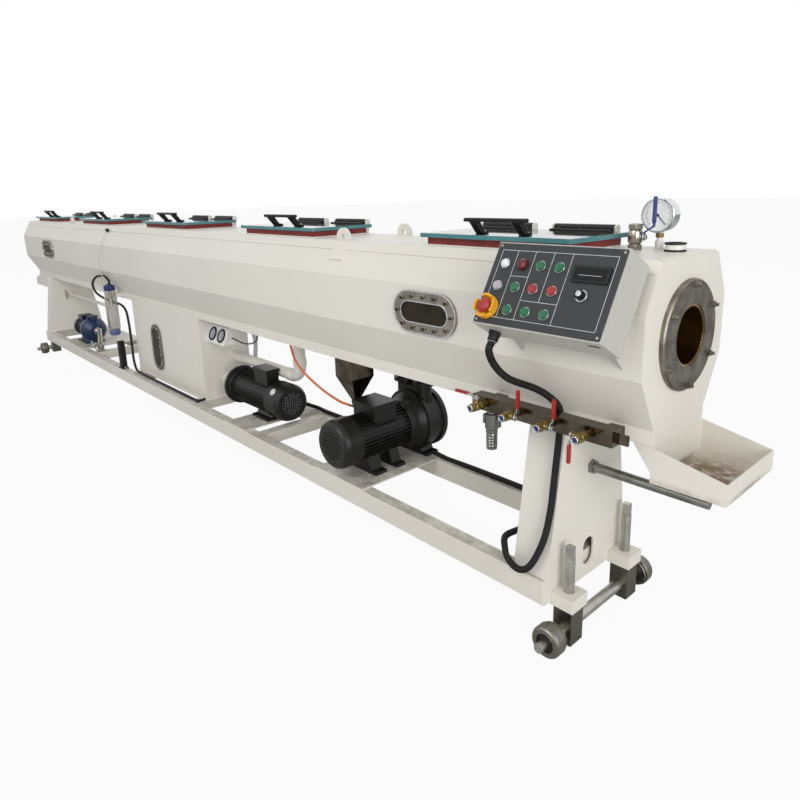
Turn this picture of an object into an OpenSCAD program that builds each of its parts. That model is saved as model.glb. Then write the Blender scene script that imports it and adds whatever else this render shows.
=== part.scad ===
// Vacuum calibration tank of a plastic pipe extrusion line.
// X runs along the tank towards the pipe entry, -Y is the operator's side, +Z is up, Z = 0 is the floor.

/* [Tank shell] */
// Length of the tank over its end plates
tank_len = 6000; // [5800:10:6200]
// Height of the pipe axis above the floor
axis_h = 975; // [950:1:1000]
// Width over the upright walls
tank_w = 458; // [440:1:480]
// Width of the flat top
top_w = 330; // [320:1:345]
// Width of the flat bottom
base_w = 298; // [290:1:310]
// Height of the top above the pipe axis
tank_rise = 210; // [200:1:225]
// Depth of the bottom below the pipe axis
tank_drop = 233; // [225:1:240]
// Height of the upright walls
side_h = 173; // [160:1:185]
// Thickness of the shell plates
wall_t = 6; // [5:0.5:8]
// Thickness of the two end plates
end_t = 8; // [6:0.5:10]
// Thickness of the top sheet's turned-down lip
lip_t = 3; // [2:0.5:4]
// Length of the turned-down lip along the slope
lip_len = 35; // [25:1:45]

/* [Lids] */
// Distance of the nearest lid's middle from the entry end
lid_in = 550; // [520:1:580]
// Distance of the farthest lid's middle from the exit end
lid_out = 570; // [540:1:600]
// Length of a glass lid
lid_len = 590; // [570:1:600]
// Width of a glass lid
lid_w = 318; // [312:1:324]
// How far the lids lie in front of the tank's middle
lid_fore = 13; // [10:1:16]
// Thickness of the glass
glass_t = 14; // [12:0.5:16]
// How far the glass stands out past the seal
glass_over = 20; // [16:1:24]
// Width of the seal and of the collar under it
seal_w = 20; // [15:1:24]
// Height of the rubber seal
seal_h = 23; // [18:1:27]
// Height of the collar on the tank top
collar_h = 5; // [4:1:8]
// Length of a lid handle
grip_len = 240; // [200:1:280]
// Height of a lid handle
grip_h = 50; // [44:1:56]
// Width of a lid handle's bar
grip_w = 22; // [18:1:26]
// How far a lid handle leans towards the operator
grip_lean = 36; // [30:1:42]
// Distance of a lid hinge from the lid's middle
hinge_off = 155; // [150:1:160]
// How far the hinges lie from a lid's middle, away from the entry
hinge_shift = 30; // [20:1:32]
// Length of a lid hinge along the lid
strap_w = 220; // [210:1:224]
// Radius of the hinge barrel
barrel_r = 12; // [11:0.5:13]
// Radius of the hinge pin
pin_r = 4; // [3:0.5:5]
// Running clearance of pins and axles
run_gap = 0.05; // [0.03:0.01:0.08]

// Distance of a lifting lug from the tank's end
lug_in = 1280; // [1265:1:1295]
// Radius of a lifting lug
lug_r = 40; // [34:1:44]
// Radius of the hole in a lifting lug
lug_hole = 13; // [10:0.5:16]

/* [Pipe entry] */
// Radius of the entry disc
disc_r = 152; // [148:1:158]
// Thickness of the entry disc
disc_t = 14; // [10:1:18]
// Radius of the hole through the entry disc
bore_r = 86; // [80:0.5:90]
// Radius of the stud circle
stud_pcd_r = 138; // [134:0.5:140]
// Radius of a stud
stud_r = 5; // [4:0.5:6]
// Length of a stud past the disc
stud_len = 16; // [12:1:22]
// Wall of the brass calibrating sleeve
sleeve_t = 7; // [5:0.5:9]
// Length of the brass calibrating sleeve
sleeve_len = 240; // [200:1:300]

/* [Sight windows] */
// Distance of a sight window's middle from the tank's end
win_in = 765; // [745:1:785]
// Length of a window frame
win_len = 290; // [280:1:310]
// Height of a window frame
win_h = 143; // [136:1:150]
// Width of the window frame's border
win_border = 38; // [34:0.5:42]
// Thickness of the window frame
win_t = 10; // [8:0.5:14]

/* [Lower frame] */
// Height of the two rails under the tank
rail_h = 44; // [40:1:50]
// Width of the two rails under the tank
rail_w = 60; // [50:1:70]
// Height of the bottom rails' underside above the floor
frame_z = 132; // [128:1:140]
// Height of a bottom rail
beam_h = 80; // [76:1:90]
// Width of a bottom rail
beam_w = 50; // [46:1:56]
// Width over the two bottom rails
frame_w = 474; // [466:1:484]
// Distance of a leg's outer face from the tank's end
leg_in = 270; // [255:1:285]
// Length of a leg along the tank
leg_len = 120; // [110:1:130]
// Thickness of the leg plates
leg_t = 6; // [5:0.5:8]
// Width of the oval hole in a leg
oval_w = 58; // [52:1:64]
// Height of the oval hole in a leg
oval_h = 96; // [90:1:104]

/* [Jacks and wheels] */
// Distance of a jack screw from the outside of the bottom rails
jack_in = 72; // [66:1:78]
// Length of a jack block along the tank
jack_len = 80; // [74:1:86]
// Width of a jack block
jack_w = 80; // [74:1:86]
// Height of a jack block
jack_h = 44; // [40:1:50]
// Underside of a jack block above the floor
jack_z = 125; // [120:1:132]
// Radius of a jack screw
screw_r = 16; // [14:0.5:18]
// Top of a jack screw above the floor
screw_top = 322; // [312:1:336]
// How much higher the rear jack screws stand
screw_more = 19; // [0:1:30]
// Radius of a wheel's tread
wheel_r = 50; // [48:0.5:52]
// Radius of the small ring on the wheel's inner side
rim_r = 46; // [44:0.5:47]
// Width of a wheel
wheel_w = 52; // [46:1:56]
// Distance of a wheel's inner face from its jack screw
wheel_out = 69; // [64:1:74]
// Radius of the axle between the jacks
axle_r = 18; // [16:0.5:20]
// Radius of the axle's wheel seat
seat_r = 15; // [13:0.5:16]
// How far an axle stands out of its wheels
axle_out = 32; // [28:1:36]

/* [Control desk] */
// Width of the control desk
desk_w = 388; // [376:1:396]
// Length of the sloping front
desk_l = 238; // [228:1:246]
// Depth of the control desk
desk_d = 104; // [96:1:112]
// Lean of the front from upright, in degrees
desk_tilt = 30; // [27:0.5:33]
// Distance of the desk from the entry end
desk_in = 16; // [10:1:24]
// Distance of the desk's front top edge from the tank's upright wall
desk_gap = 54; // [51:1:62]
// Front top edge of the desk above the pipe axis
desk_z = 250; // [244:1:256]
// Thickness of the control panel
panel_t = 3; // [2:0.5:4]
// Radius of a button's ring
button_r = 14.5; // [13:0.5:15]
// Distance from one button to the next along the panel
button_pitch = 57; // [50:0.5:60]
// Distance from one row of buttons to the next
row_pitch = 63.5; // [56:0.5:66]
// Width of the speed display
display_w = 100; // [92:1:110]
// Height of the speed display
display_h = 44; // [40:1:48]

/* [Water manifold] */
// Length of the water manifold
mani_len = 480; // [470:1:490]
// Side of the manifold's square tube
mani_s = 45; // [42:1:48]
// Distance of the manifold from the entry end
mani_in = 60; // [54:1:70]
// Distance of the manifold's middle from the tank rail's face
mani_out = 78; // [75:1:85]
// Manifold's middle above the tank rail's underside
mani_up = 32; // [26:1:36]
// Distance from one valve to the next
valve_pitch = 121; // [116:1:122]
// Length of a valve body
valve_len = 64; // [60:1:70]
// Radius of a valve body
valve_r = 14; // [13:0.5:15]
// Length of a valve lever
lever_len = 85; // [78:1:92]
// Thickness of a valve lever
lever_t = 4; // [3:0.5:5]
// Radius of the hose coupling
cam_r = 21; // [19:0.5:23]
// Length of the hose coupling under the manifold
cam_len = 126; // [116:1:136]

/* [Drip tray] */
// Length of the drip tray
tray_len = 198; // [186:1:210]
// Width of the drip tray
tray_w = 306; // [302:1:312]
// Depth of the tray at the tank
tray_h0 = 100; // [92:1:106]
// Depth of the tray at its outer end
tray_h1 = 58; // [52:1:64]
// Thickness of the tray's sheet
tray_t = 3; // [2:0.5:4]

/* [Machinery] */
// Length of the water box
box_len = 1010; // [980:1:1030]
// Middle of the water box along the tank
box_x = -195; // [-205:1:-185]
// Depth of the water box
box_d = 296; // [288:1:298]
// Height of the water box's sight glass
sight_h = 300; // [280:1:310]
// Width of the water box's sight glass
sight_w = 150; // [130:1:160]
// Width of the socket box
socket_w = 215; // [200:1:225]
// Height of the socket box
socket_h = 103; // [96:1:110]
// Depth of the socket box at its top
socket_d = 60; // [50:1:70]
// Length of the water pump with its motor
pump_len = 690; // [670:1:700]
// Radius of the water pump's motor over its fins
motor_r = 92; // [88:1:96]
// Height of the water pump's shaft above its plate
shaft_h = 100; // [100:1:106]
// Gap from the water pump's motor to the middle of the vacuum pump
vac_gap = 700; // [690:1:720]
// Length of the vacuum pump's motor
vac_len = 370; // [350:1:380]
// Radius of the vacuum pump's motor over its fins
vac_r = 98; // [94:1:102]
// Height of the vacuum pump's shaft above its plate
vac_h = 145; // [142:1:150]
// Radius of the vacuum pump's casing
casing_r = 140; // [134:1:141]
// Length of the vacuum pump's casing
casing_len = 200; // [190:1:206]
// Height of a motor's fins
fin_h = 13; // [10:0.5:16]
// Number of fins around a motor
fin_n = 36; // [30:2:40]
// Distance of the blue pump's casing from the far leg
blue_in = 930; // [900:1:960]
// Radius of the blue pump's motor
blue_r = 72; // [66:1:78]
// Thickness of the machine plates on the bottom rails
plate_t = 6; // [5:0.5:8]
// Side of the square separator
sep_s = 120; // [110:1:124]
// Height of the separator's upright sides
sep_h = 167; // [150:1:180]
// Height of the separator's drawn-in part
sep_cone = 110; // [100:1:120]
// Distance of the separator from the vacuum pump's shaft
sep_in = 163; // [158:1:180]
// Radius of the water filter's caps
filter_r = 36; // [33:1:40]
// Height of the water filter
filter_h = 355; // [330:1:370]
// Distance of the water filter from the water box
filter_in = 180; // [170:1:200]
// Outside radius of the white return pipe
pipe_r = 30; // [26:0.5:32]
// Radius of the return pipe's bend
bend_r = 62; // [56:1:70]
// Length of the return pipe from the water box to its bend
pipe_run = 700; // [680:1:715]
// Height of the return pipe above the bottom rails
pipe_up = 238; // [230:1:250]

/* [Hidden] */
$fn = 48;
eps = 0.01;

// Heights and widths that follow from the sizes above
top_z = axis_h + tank_rise;
base_z = axis_h - tank_drop;
up_z = axis_h + side_h / 2;
low_z = axis_h - side_h / 2;
rail_z = base_z - rail_h;
sheet_z = top_z + lip_t;
seal_z = sheet_z + collar_h;
glass_z = seal_z + seal_h;
lid_top = glass_z + glass_t;
deck_z = frame_z + beam_h;
xe = tank_len / 2;
inner_len = tank_len - 2 * end_t;
beam_y0 = frame_w / 2 - beam_w;
leg_x = xe - leg_in;
win_off = xe - win_in;
lug_x = xe - lug_in;
jack_y = frame_w / 2 - jack_in;
wheel_y = jack_y + wheel_out;
axle_half = wheel_y + wheel_w + axle_out;
desk_y = tank_w / 2 + desk_gap;
mani_y = base_w / 2 + mani_out;
mani_z = rail_z + mani_up;
// Gap between the turned-down lip and the sloping plate it lies on
seat_gap = 0.05;

// Outline of the tank's section, as [y, z], from the front top corner downwards
shell = [[-top_w / 2, top_z], [-tank_w / 2, up_z], [-tank_w / 2, low_z], [-base_w / 2, base_z],
    [base_w / 2, base_z], [tank_w / 2, low_z], [tank_w / 2, up_z], [top_w / 2, top_z]];

// The drawing is moved so that the origin lies under the middle of the whole outline
stop_v = desk_l / 2 - 63.5 - 2 * row_pitch;
stop_h = 26;
stop_top_r = 15;
front_out = max(desk_y + desk_l * sin(desk_tilt) + panel_t * cos(desk_tilt),
    desk_y + (desk_l / 2 - stop_v + stop_top_r) * sin(desk_tilt) + (panel_t + stop_h - eps) * cos(desk_tilt));
shift = [-(tray_len - disc_t) / 2, (front_out - axle_half) / 2, 0];
module place() { translate(shift) children(); }

function unit(v) = v / norm(v);
function left(v) = [-v[1], v[0]];
// Corner i of the outline moved inwards by t along both its edges
function inset(i, t) = let (p = shell[(i + 7) % 8], c = shell[i], n = shell[(i + 1) % 8],
    a = left(unit(c - p)), b = left(unit(n - c))) c + (a + b) * t / (1 + a * b);

// A flat shape in [y, z], drawn out along X from x0 to x1
module along_x(x0, x1) {
    translate([x0, 0, 0]) rotate([90, 0, 90]) linear_extrude(height = x1 - x0) children();
}

// One flat plate of the shell between corners i and i + 1, mitred at both edges, its face set back by g
module shell_plate(i, g = 0) {
    j = (i + 1) % 8;
    along_x(-inner_len / 2, inner_len / 2)
        polygon([inset(i, g), inset(j, g), inset(j, wall_t), inset(i, wall_t)]);
}

// A flat shape with round ends, wide w and high h
module stadium(w, h) {
    r = min(w, h) / 2;
    union() {
        if (w > h) {
            square([w - h, h], center = true);
            translate([-(w - h) / 2, 0]) circle(r = r);
            translate([(w - h) / 2, 0]) circle(r = r);
        } else {
            square([w, h - w], center = true);
            translate([0, -(h - w) / 2]) circle(r = r);
            translate([0, (h - w) / 2]) circle(r = r);
        }
    }
}

// A flat shape drawn out towards -Y, from y0 to y1
module along_y(y0, y1) {
    translate([0, y1, 0]) rotate([90, 0, 0]) linear_extrude(height = y1 - y0) children();
}

lid_pitch = (tank_len - lid_in - lid_out) / 4;
function lid_x(i) = xe - lid_in - (5 - i) * lid_pitch;

paint = [0.89, 0.87, 0.82];
steel = [0.62, 0.62, 0.60];
black = [0.08, 0.08, 0.08];

module tank_bottom() { color(paint) shell_plate(3); }
module lower_front_plate() { color(paint) shell_plate(2); }
module lower_back_plate() { color(paint) shell_plate(4); }
module upper_front_plate() { color(paint) shell_plate(0, seat_gap); }
module upper_back_plate() { color(paint) shell_plate(6, seat_gap); }
module back_wall() { color(paint) shell_plate(5); }

module front_wall() {
    color(paint) difference() {
        shell_plate(1);
        for (s = [-1, 1]) translate([s * win_off, 0, axis_h])
            along_y(-tank_w / 2 - 1, -tank_w / 2 + wall_t + 1)
                stadium(win_len - 2 * win_border, win_h - 2 * win_border);
    }
}

// Hinge line of the lids
hinge_gap = 5;
lid_back = lid_w / 2 - lid_fore;
hinge_y = lid_back + hinge_gap + barrel_r;
hinge_z = lid_top + barrel_r - 4;
cheek_t = 8;
strap_t = 5;
seal_out_l = lid_len - 2 * glass_over;
seal_out_w = lid_w - 2 * glass_over;

// One cheek of a lid hinge, standing on the rear edge of the tank top
module hinge_cheek() {
    rotate([90, 0, 90]) difference() {
        linear_extrude(height = cheek_t) union() {
            polygon([[lid_back - glass_over + 1, sheet_z], [top_w / 2, sheet_z],
                [hinge_y + barrel_r, hinge_z], [hinge_y - barrel_r, hinge_z],
                [lid_back + hinge_gap, glass_z - 8]]);
            translate([hinge_y, hinge_z]) circle(r = barrel_r);
        }
    }
}

// A lifting lug: a drilled half disc on the edge of the tank top
lug_t = 12;
// The pad that carries a lug's pull down the sloping plate
pad_len = 78;
pad_t = 7;
module lug() {
    linear_extrude(height = lug_t) difference() {
        intersection() {
            circle(r = lug_r);
            translate([-lug_r, -8 - eps]) square(2 * lug_r);
        }
        translate([0, 4]) circle(r = lug_hole);
    }
}

module tank_top() {
    d0 = unit(shell[1] - shell[0]);
    n0 = -left(d0);
    e0 = shell[0] + d0 * lip_len;
    o0 = inset(0, -lip_t);
    function flip(p) = [-p[0], p[1]];
    color(paint) difference() {
        union() {
            along_x(-inner_len / 2, inner_len / 2)
                polygon([inset(0, wall_t), shell[0], e0, e0 + n0 * lip_t, o0, flip(o0),
                    flip(e0 + n0 * lip_t), flip(e0), flip(shell[0]), flip(inset(0, wall_t))]);
            for (i = [1:5]) translate([lid_x(i), -lid_fore, sheet_z - eps])
                linear_extrude(height = collar_h + eps) square([seal_out_l, seal_out_w], center = true);
            for (s = [-1, 1]) for (t = [0, 1]) mirror([0, t, 0])
                translate([s * lug_x, -top_w / 2 + lug_t, sheet_z + 8]) rotate([90, 0, 0]) lug();
            for (s = [-1, 1]) for (t = [0, 1]) mirror([0, t, 0]) along_x(s * lug_x - lug_r, s * lug_x + lug_r)
                polygon([shell[0], shell[0] + d0 * pad_len, shell[0] + d0 * pad_len + n0 * pad_t,
                    shell[0] + n0 * pad_t]);
            for (i = [1:5]) for (s = [-1, 1]) {
                hx = lid_x(i) - hinge_shift + s * hinge_off;
                for (t = [-1, 1]) translate([hx + t * (strap_w / 2 + 1 + cheek_t / 2) - cheek_t / 2, 0, 0])
                    hinge_cheek();
                translate([hx - strap_w / 2 - 1 - cheek_t / 2, hinge_y, hinge_z]) rotate([0, 90, 0])
                    cylinder(r = pin_r, h = strap_w + 2 + cheek_t);
            }
        }
        for (i = [1:5]) translate([lid_x(i), -lid_fore, (top_z + sheet_z) / 2])
            cube([seal_out_l - 2 * seal_w, seal_out_w - 2 * seal_w, 6 * (wall_t + collar_h)], center = true);
    }
}

module lid_seals() {
    color([0.45, 0.12, 0.10]) for (i = [1:5]) translate([lid_x(i), -lid_fore, seal_z])
        linear_extrude(height = seal_h) difference() {
            square([seal_out_l, seal_out_w], center = true);
            square([seal_out_l - 2 * seal_w, seal_out_w - 2 * seal_w], center = true);
        }
}

// A black lid handle: a bar on two legs that lean towards the operator, from the lid's middle
module grip() {
    bar_t = 12;
    foot_w = 24;
    bar_y = -grip_lean / 2;
    foot_y = grip_lean / 2;
    translate([-grip_len / 2, bar_y - grip_w / 2, grip_h - bar_t]) cube([grip_len, grip_w, bar_t]);
    for (s = [-1, 1]) translate([s * (grip_len / 2 - 35) - foot_w / 2, 0, 0]) along_x(0, foot_w)
        polygon([[bar_y - grip_w / 2, grip_h - eps], [bar_y + grip_w / 2, grip_h - eps], [foot_y + 6, 6],
            [foot_y + 24, 6], [foot_y + 24, 0], [foot_y - 14, 0], [bar_y - grip_w / 2, grip_h - bar_t]]);
}

// A glass lid with its handle and its two hinge straps
strap_y = 22;
module lid(i) {
    translate([lid_x(i), 0, 0]) {
        color([0.55, 0.75, 0.72]) translate([0, -lid_fore, glass_z + glass_t / 2])
            cube([lid_len, lid_w, glass_t], center = true);
        color(black) translate([0, -lid_fore - lid_w / 2 + 55, lid_top - eps]) grip();
        color(black) for (s = [-1, 1]) translate([s * hinge_off - hinge_shift - strap_w / 2, 0, 0]) difference() {
            rotate([90, 0, 90]) linear_extrude(height = strap_w) union() {
                translate([lid_back - strap_y, lid_top - eps]) square([hinge_y - lid_back + strap_y, strap_t]);
                translate([hinge_y, hinge_z]) circle(r = barrel_r);
            }
            translate([-1, hinge_y, hinge_z]) rotate([0, 90, 0])
                cylinder(r = pin_r + run_gap, h = strap_w + 2);
        }
    }
}
module lid_1() { lid(1); }
module lid_2() { lid(2); }
module lid_3() { lid(3); }
module lid_4() { lid(4); }
module lid_5() { lid(5); }

// Outline of an end plate: the shell and a skirt over the ends of the tank rails
module end_outline() {
    polygon([for (i = [0:3]) shell[i], [-base_w / 2, rail_z], [base_w / 2, rail_z], for (i = [4:7]) shell[i]]);
}

module entry_end() {
    color(paint) difference() {
        along_x(xe - end_t, xe) end_outline();
        translate([xe - end_t - 1, 0, axis_h]) rotate([0, 90, 0]) cylinder(r = bore_r, h = end_t + 2);
    }
}

module exit_end() {
    color(paint) difference() {
        union() {
            along_x(-xe, -xe + end_t) end_outline();
            translate([-xe - disc_t, 0, axis_h]) rotate([0, 90, 0]) cylinder(r = disc_r - 20, h = disc_t + eps);
        }
        translate([-xe - disc_t - 1, 0, axis_h]) rotate([0, 90, 0]) cylinder(r = bore_r, h = end_t + disc_t + 2);
    }
}

// The steel disc that clamps the calibrating sleeve, with its studs and nuts
module entry_disc() {
    rim = 4;
    nut_h = 8;
    color(steel) difference() {
        union() {
            translate([xe, 0, axis_h]) rotate([0, 90, 0]) rotate_extrude()
                polygon([[bore_r, 0], [disc_r, 0], [disc_r, disc_t - rim], [disc_r - rim, disc_t], [bore_r, disc_t]]);
            for (k = [0:5]) translate([xe + disc_t - 1, 0, axis_h]) rotate([k * 60, 0, 0])
                translate([0, 0, stud_pcd_r]) rotate([0, 90, 0]) {
                    cylinder(r = stud_r, h = stud_len + 1);
                    cylinder(r = 1.8 * stud_r, h = nut_h + 1, $fn = 6);
                }
        }
    }
}

module brass_sleeve() {
    color([0.80, 0.62, 0.28]) translate([xe + disc_t - 4 - sleeve_len, 0, axis_h]) rotate([0, 90, 0]) difference() {
        cylinder(r = bore_r, h = sleeve_len);
        translate([0, 0, -1]) cylinder(r = bore_r - sleeve_t, h = sleeve_len + 2);
    }
}

module window_frames() {
    color(steel) for (s = [-1, 1]) translate([s * win_off, 0, axis_h])
        along_y(-tank_w / 2 - win_t, -tank_w / 2) difference() {
            stadium(win_len, win_h);
            stadium(win_len - 2 * win_border, win_h - 2 * win_border);
        }
}

module window_glass() {
    color([0.15, 0.17, 0.17]) for (s = [-1, 1]) translate([s * win_off, 0, axis_h])
        along_y(-tank_w / 2 - win_t + 4, -tank_w / 2 + wall_t)
            stadium(win_len - 2 * win_border, win_h - 2 * win_border);
}

module tank_rails() {
    t = 6;
    color(paint) for (s = [0, 1]) mirror([0, s, 0]) along_x(-inner_len / 2, inner_len / 2)
        translate([-base_w / 2, rail_z]) polygon([[0, 0], [rail_w, 0], [rail_w, t], [t, t],
            [t, rail_h - t], [rail_w, rail_h - t], [rail_w, rail_h], [0, rail_h]]);
}

// Half width of a leg at height z
function leg_half(z) = frame_w / 2 + (base_w - frame_w) / 2 * (z - frame_z) / (rail_z - frame_z);

// A sheet leg: a tapered box on the bottom rails, its outer plate drawn down over their ends
module leg() {
    difference() {
        along_x(leg_x - leg_len, leg_x) polygon([[-leg_half(deck_z), deck_z], [leg_half(deck_z), deck_z],
            [base_w / 2, rail_z], [-base_w / 2, rail_z]]);
        along_x(leg_x - leg_len + leg_t, leg_x + 1) polygon([[-leg_half(deck_z) + leg_t, deck_z - 1],
            [leg_half(deck_z) - leg_t, deck_z - 1], [base_w / 2 - leg_t, rail_z + 1], [-base_w / 2 + leg_t, rail_z + 1]]);
    }
    difference() {
        along_x(leg_x, leg_x + leg_t) polygon([[-frame_w / 2, frame_z], [frame_w / 2, frame_z],
            [base_w / 2, rail_z], [-base_w / 2, rail_z]]);
        translate([0, 0, frame_z + 88]) along_x(leg_x - 1, leg_x + leg_t + 1) stadium(oval_w, oval_h);
    }
    for (s = [-1, 1]) difference() {
        translate([leg_x + leg_t - eps, s * jack_y - jack_w / 2, jack_z]) cube([jack_len, jack_w, jack_h]);
        translate([leg_x + leg_t + jack_len / 2, s * jack_y, jack_z - 1]) cylinder(r = screw_r + 0.5, h = jack_h + 2);
    }
}
module near_leg() { color(paint) leg(); }
module far_leg() { color(paint) mirror([1, 0, 0]) leg(); }

module beam() {
    color(paint) translate([-leg_x, beam_y0, frame_z]) cube([2 * leg_x, beam_w, beam_h]);
}
module front_rail() { mirror([0, 1, 0]) beam(); }
module rear_rail() { beam(); }

// Where the machines stand along the tank: both ends of the water pump, the vacuum pump, the blue pump
pump_x0 = box_x + box_len / 2;
pump_x1 = pump_x0 + pump_len;
vac_x = pump_x1 + vac_gap;
blue_x = -leg_x + blue_in;
// Where the cross members stand along the tank, and their width
cross_at = [-leg_x + 40, blue_x + 300, box_x - box_len / 2 + 60, pump_x0 - 60, pump_x1, leg_x - 40];
module cross_members() {
    color(paint) for (x = cross_at) translate([x - 30, -beam_y0, frame_z + 20]) cube([60, 2 * beam_y0, beam_h - 20]);
}

axle_x = leg_x + leg_t + jack_len / 2;
// The axle, its two bearing blocks and the jack screws that stand in them
module axle() {
    blk_w = 64;
    blk_z = wheel_r - 44;
    color(steel) union() {
        translate([axle_x, -wheel_y + 6, wheel_r]) rotate([-90, 0, 0]) cylinder(r = axle_r, h = 2 * wheel_y - 12);
        translate([axle_x, -axle_half, wheel_r]) rotate([-90, 0, 0]) cylinder(r = seat_r, h = 2 * axle_half);
        for (s = [-1, 1]) translate([axle_x, s * jack_y, 0]) {
            translate([-blk_w / 2, -blk_w / 2, blk_z]) cube([blk_w, blk_w, jack_z - 5 - blk_z]);
            top = screw_top + (s + 1) / 2 * screw_more;
            translate([0, 0, wheel_r]) cylinder(r = screw_r, h = top - 40 - wheel_r);
            translate([-11, -11, top - 41]) cube([22, 22, 41]);
        }
    }
}
module near_axle() { axle(); }
module far_axle() { mirror([1, 0, 0]) axle(); }

// A plain rail wheel: a broad tread with rounded edges, a ring behind it, and a recess for its bearing
module wheel() {
    face = wheel_w - 6;
    color(steel) translate([axle_x, -wheel_y, wheel_r]) rotate([90, 0, 0]) rotate_extrude()
        polygon([[seat_r + run_gap, 0], [rim_r - 2, 0], [rim_r, 2], [rim_r, 6], [rim_r - 3, 8], [rim_r - 3, 11],
            [wheel_r - 2, 11], [wheel_r, 13], [wheel_r, wheel_w - 9], [wheel_r - 2, wheel_w - 4],
            [wheel_r - 7, wheel_w], [30, wheel_w], [28, face], [seat_r + run_gap, face]]);
}
module wheel_near_front() { wheel(); }
module wheel_near_back() { mirror([0, 1, 0]) wheel(); }
module wheel_far_front() { mirror([1, 0, 0]) wheel(); }
module wheel_far_back() { mirror([1, 0, 0]) mirror([0, 1, 0]) wheel(); }

// Frame of the desk's sloping front: X along the tank, Y up the slope, Z out of it, from its middle
desk_mid_y = -desk_y - desk_l / 2 * sin(desk_tilt);
desk_mid_z = axis_h + desk_z - desk_l / 2 * cos(desk_tilt);
module on_desk() {
    translate([xe - desk_in - desk_w / 2, desk_mid_y, desk_mid_z]) rotate([90 - desk_tilt, 0, 0]) children();
}

// A point of the desk's own frame, in the frame of the whole machine
function desk_pt(x, y, z) = [xe - desk_in - desk_w / 2 + x,
    desk_mid_y + y * sin(desk_tilt) - z * cos(desk_tilt), desk_mid_z + y * cos(desk_tilt) + z * sin(desk_tilt)];
gland_u = -desk_w / 2 + 42;
gland_w = -55;
gland_len = 30;

module control_desk() {
    color([0.83, 0.84, 0.82]) union() {
        on_desk() translate([-desk_w / 2, -desk_l / 2, -desk_d]) cube([desk_w, desk_l, desk_d]);
        on_desk() translate([gland_u, -desk_l / 2, gland_w]) rotate([90, 0, 0]) {
            cylinder(r = 17, h = 12, $fn = 6);
            cylinder(r = 13, h = gland_len);
        }
        for (s = [-1, 1]) translate([xe - desk_in - desk_w / 2 + s * (desk_w / 2 - 40) - 3, 0, 0]) {
            rotate([90, 0, 90]) linear_extrude(height = 6) polygon([[-tank_w / 2, axis_h + 60],
                [-tank_w / 2, axis_h - 60], [-tank_w / 2 - 60, axis_h],
                [desk_mid_y + 60, desk_mid_z - 60], [desk_mid_y + 100, desk_mid_z - 30]]);
        }
    }
}

// Place of a control on the panel: column c from the left, row r from the top
function button_at(c, r) = [-desk_w / 2 + 46 + c * button_pitch, desk_l / 2 - 63.5 - r * row_pitch, panel_t - eps];
module push_button() {
    cylinder(r = button_r, h = 4);
    cylinder(r = button_r - 4, h = 10);
}
module lamp() {
    cylinder(r = button_r, h = 4);
    cylinder(r = button_r - 3, h = 8);
    translate([0, 0, 8]) intersection() {
        translate([0, 0, -button_r]) sphere(r = button_r + 4);
        cylinder(r = button_r - 3, h = button_r);
    }
}
// The emergency stop: a mushroom head in a round guard on an oval plate
module stop_button() {
    linear_extrude(height = 3) stadium(68, 60);
    rotate_extrude() polygon([[0, 0], [30, 0], [30, 8], [27, 10], [23, 10], [23, 6], [12, 6], [12, 14],
        [20, 16], [20, stop_h - 4], [stop_top_r, stop_h], [0, stop_h]]);
}
module control_panel() {
    color([0.25, 0.26, 0.28]) on_desk() union() {
        translate([-desk_w / 2 + 4, -desk_l / 2 + 4, 0]) cube([desk_w - 8, desk_l - 8, panel_t]);
        for (c = [0:3]) translate(button_at(c, 0)) lamp();
        for (c = [0:3]) translate(button_at(c, 1)) push_button();
        for (c = [1:3]) translate(button_at(c, 2)) push_button();
        translate(button_at(-10 / button_pitch, 2)) stop_button();
        translate([-desk_w / 2 + 259, desk_l / 2 - 53 - display_h, panel_t - eps]) difference() {
            cube([display_w, display_h, 6]);
            translate([5, 5, 4]) cube([display_w - 10, display_h - 10, 3]);
        }
        translate([-desk_w / 2 + 301, desk_l / 2 - 130, panel_t - eps]) {
            cylinder(r = 17, h = 3);
            cylinder(r = 11, h = 18);
        }
    }
}

mani_x1 = xe - mani_in;
// The hose coupling under the manifold: body, two ears, collar and ribbed tail
module coupling() {
    tail = cam_r * 0.78;
    rotate_extrude() polygon(concat([[0, 1], [cam_r * 0.7, 1], [cam_r * 0.7, -10], [cam_r, -12], [cam_r, -58],
        [cam_r * 0.86, -62], [cam_r * 0.86, -72], [tail, -74]],
        [for (k = [0:4]) each [[tail + 1.5, -78 - k * 9], [tail, -84 - k * 9]]], [[tail, -cam_len], [0, -cam_len]]));
    for (s = [-1, 1]) translate([s * (cam_r + 5), 0, -34]) cube([14, 9, 30], center = true);
}
module water_manifold() {
    brk = mani_y - mani_s / 2 - base_w / 2;
    color(steel) union() {
        translate([mani_x1 - mani_len, -mani_y - mani_s / 2, mani_z - mani_s / 2]) cube([mani_len, mani_s, mani_s]);
        for (x = [40, mani_len - 40]) translate([mani_x1 - x - 20, -base_w / 2 - brk - eps, rail_z + 6])
            cube([40, brk + eps, rail_h - 12]);
        translate([mani_x1 - eps, -mani_y - 4, mani_z - 14]) cube([34, 8, 28]);
        translate([mani_x1 - mani_len + 60, -mani_y, mani_z - mani_s / 2]) coupling();
    }
}

function valve_x(i) = mani_x1 - 70 - (4 - i) * valve_pitch;
valve_y0 = -mani_y - mani_s / 2;
stem_y = valve_y0 - valve_len * 0.55;
stem_r = 5;
stem_h = 34;
// Turn of each valve's stem about its bore: up, to the entry side or away from it
stem_turn = [0, 90, 90, -90];

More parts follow.
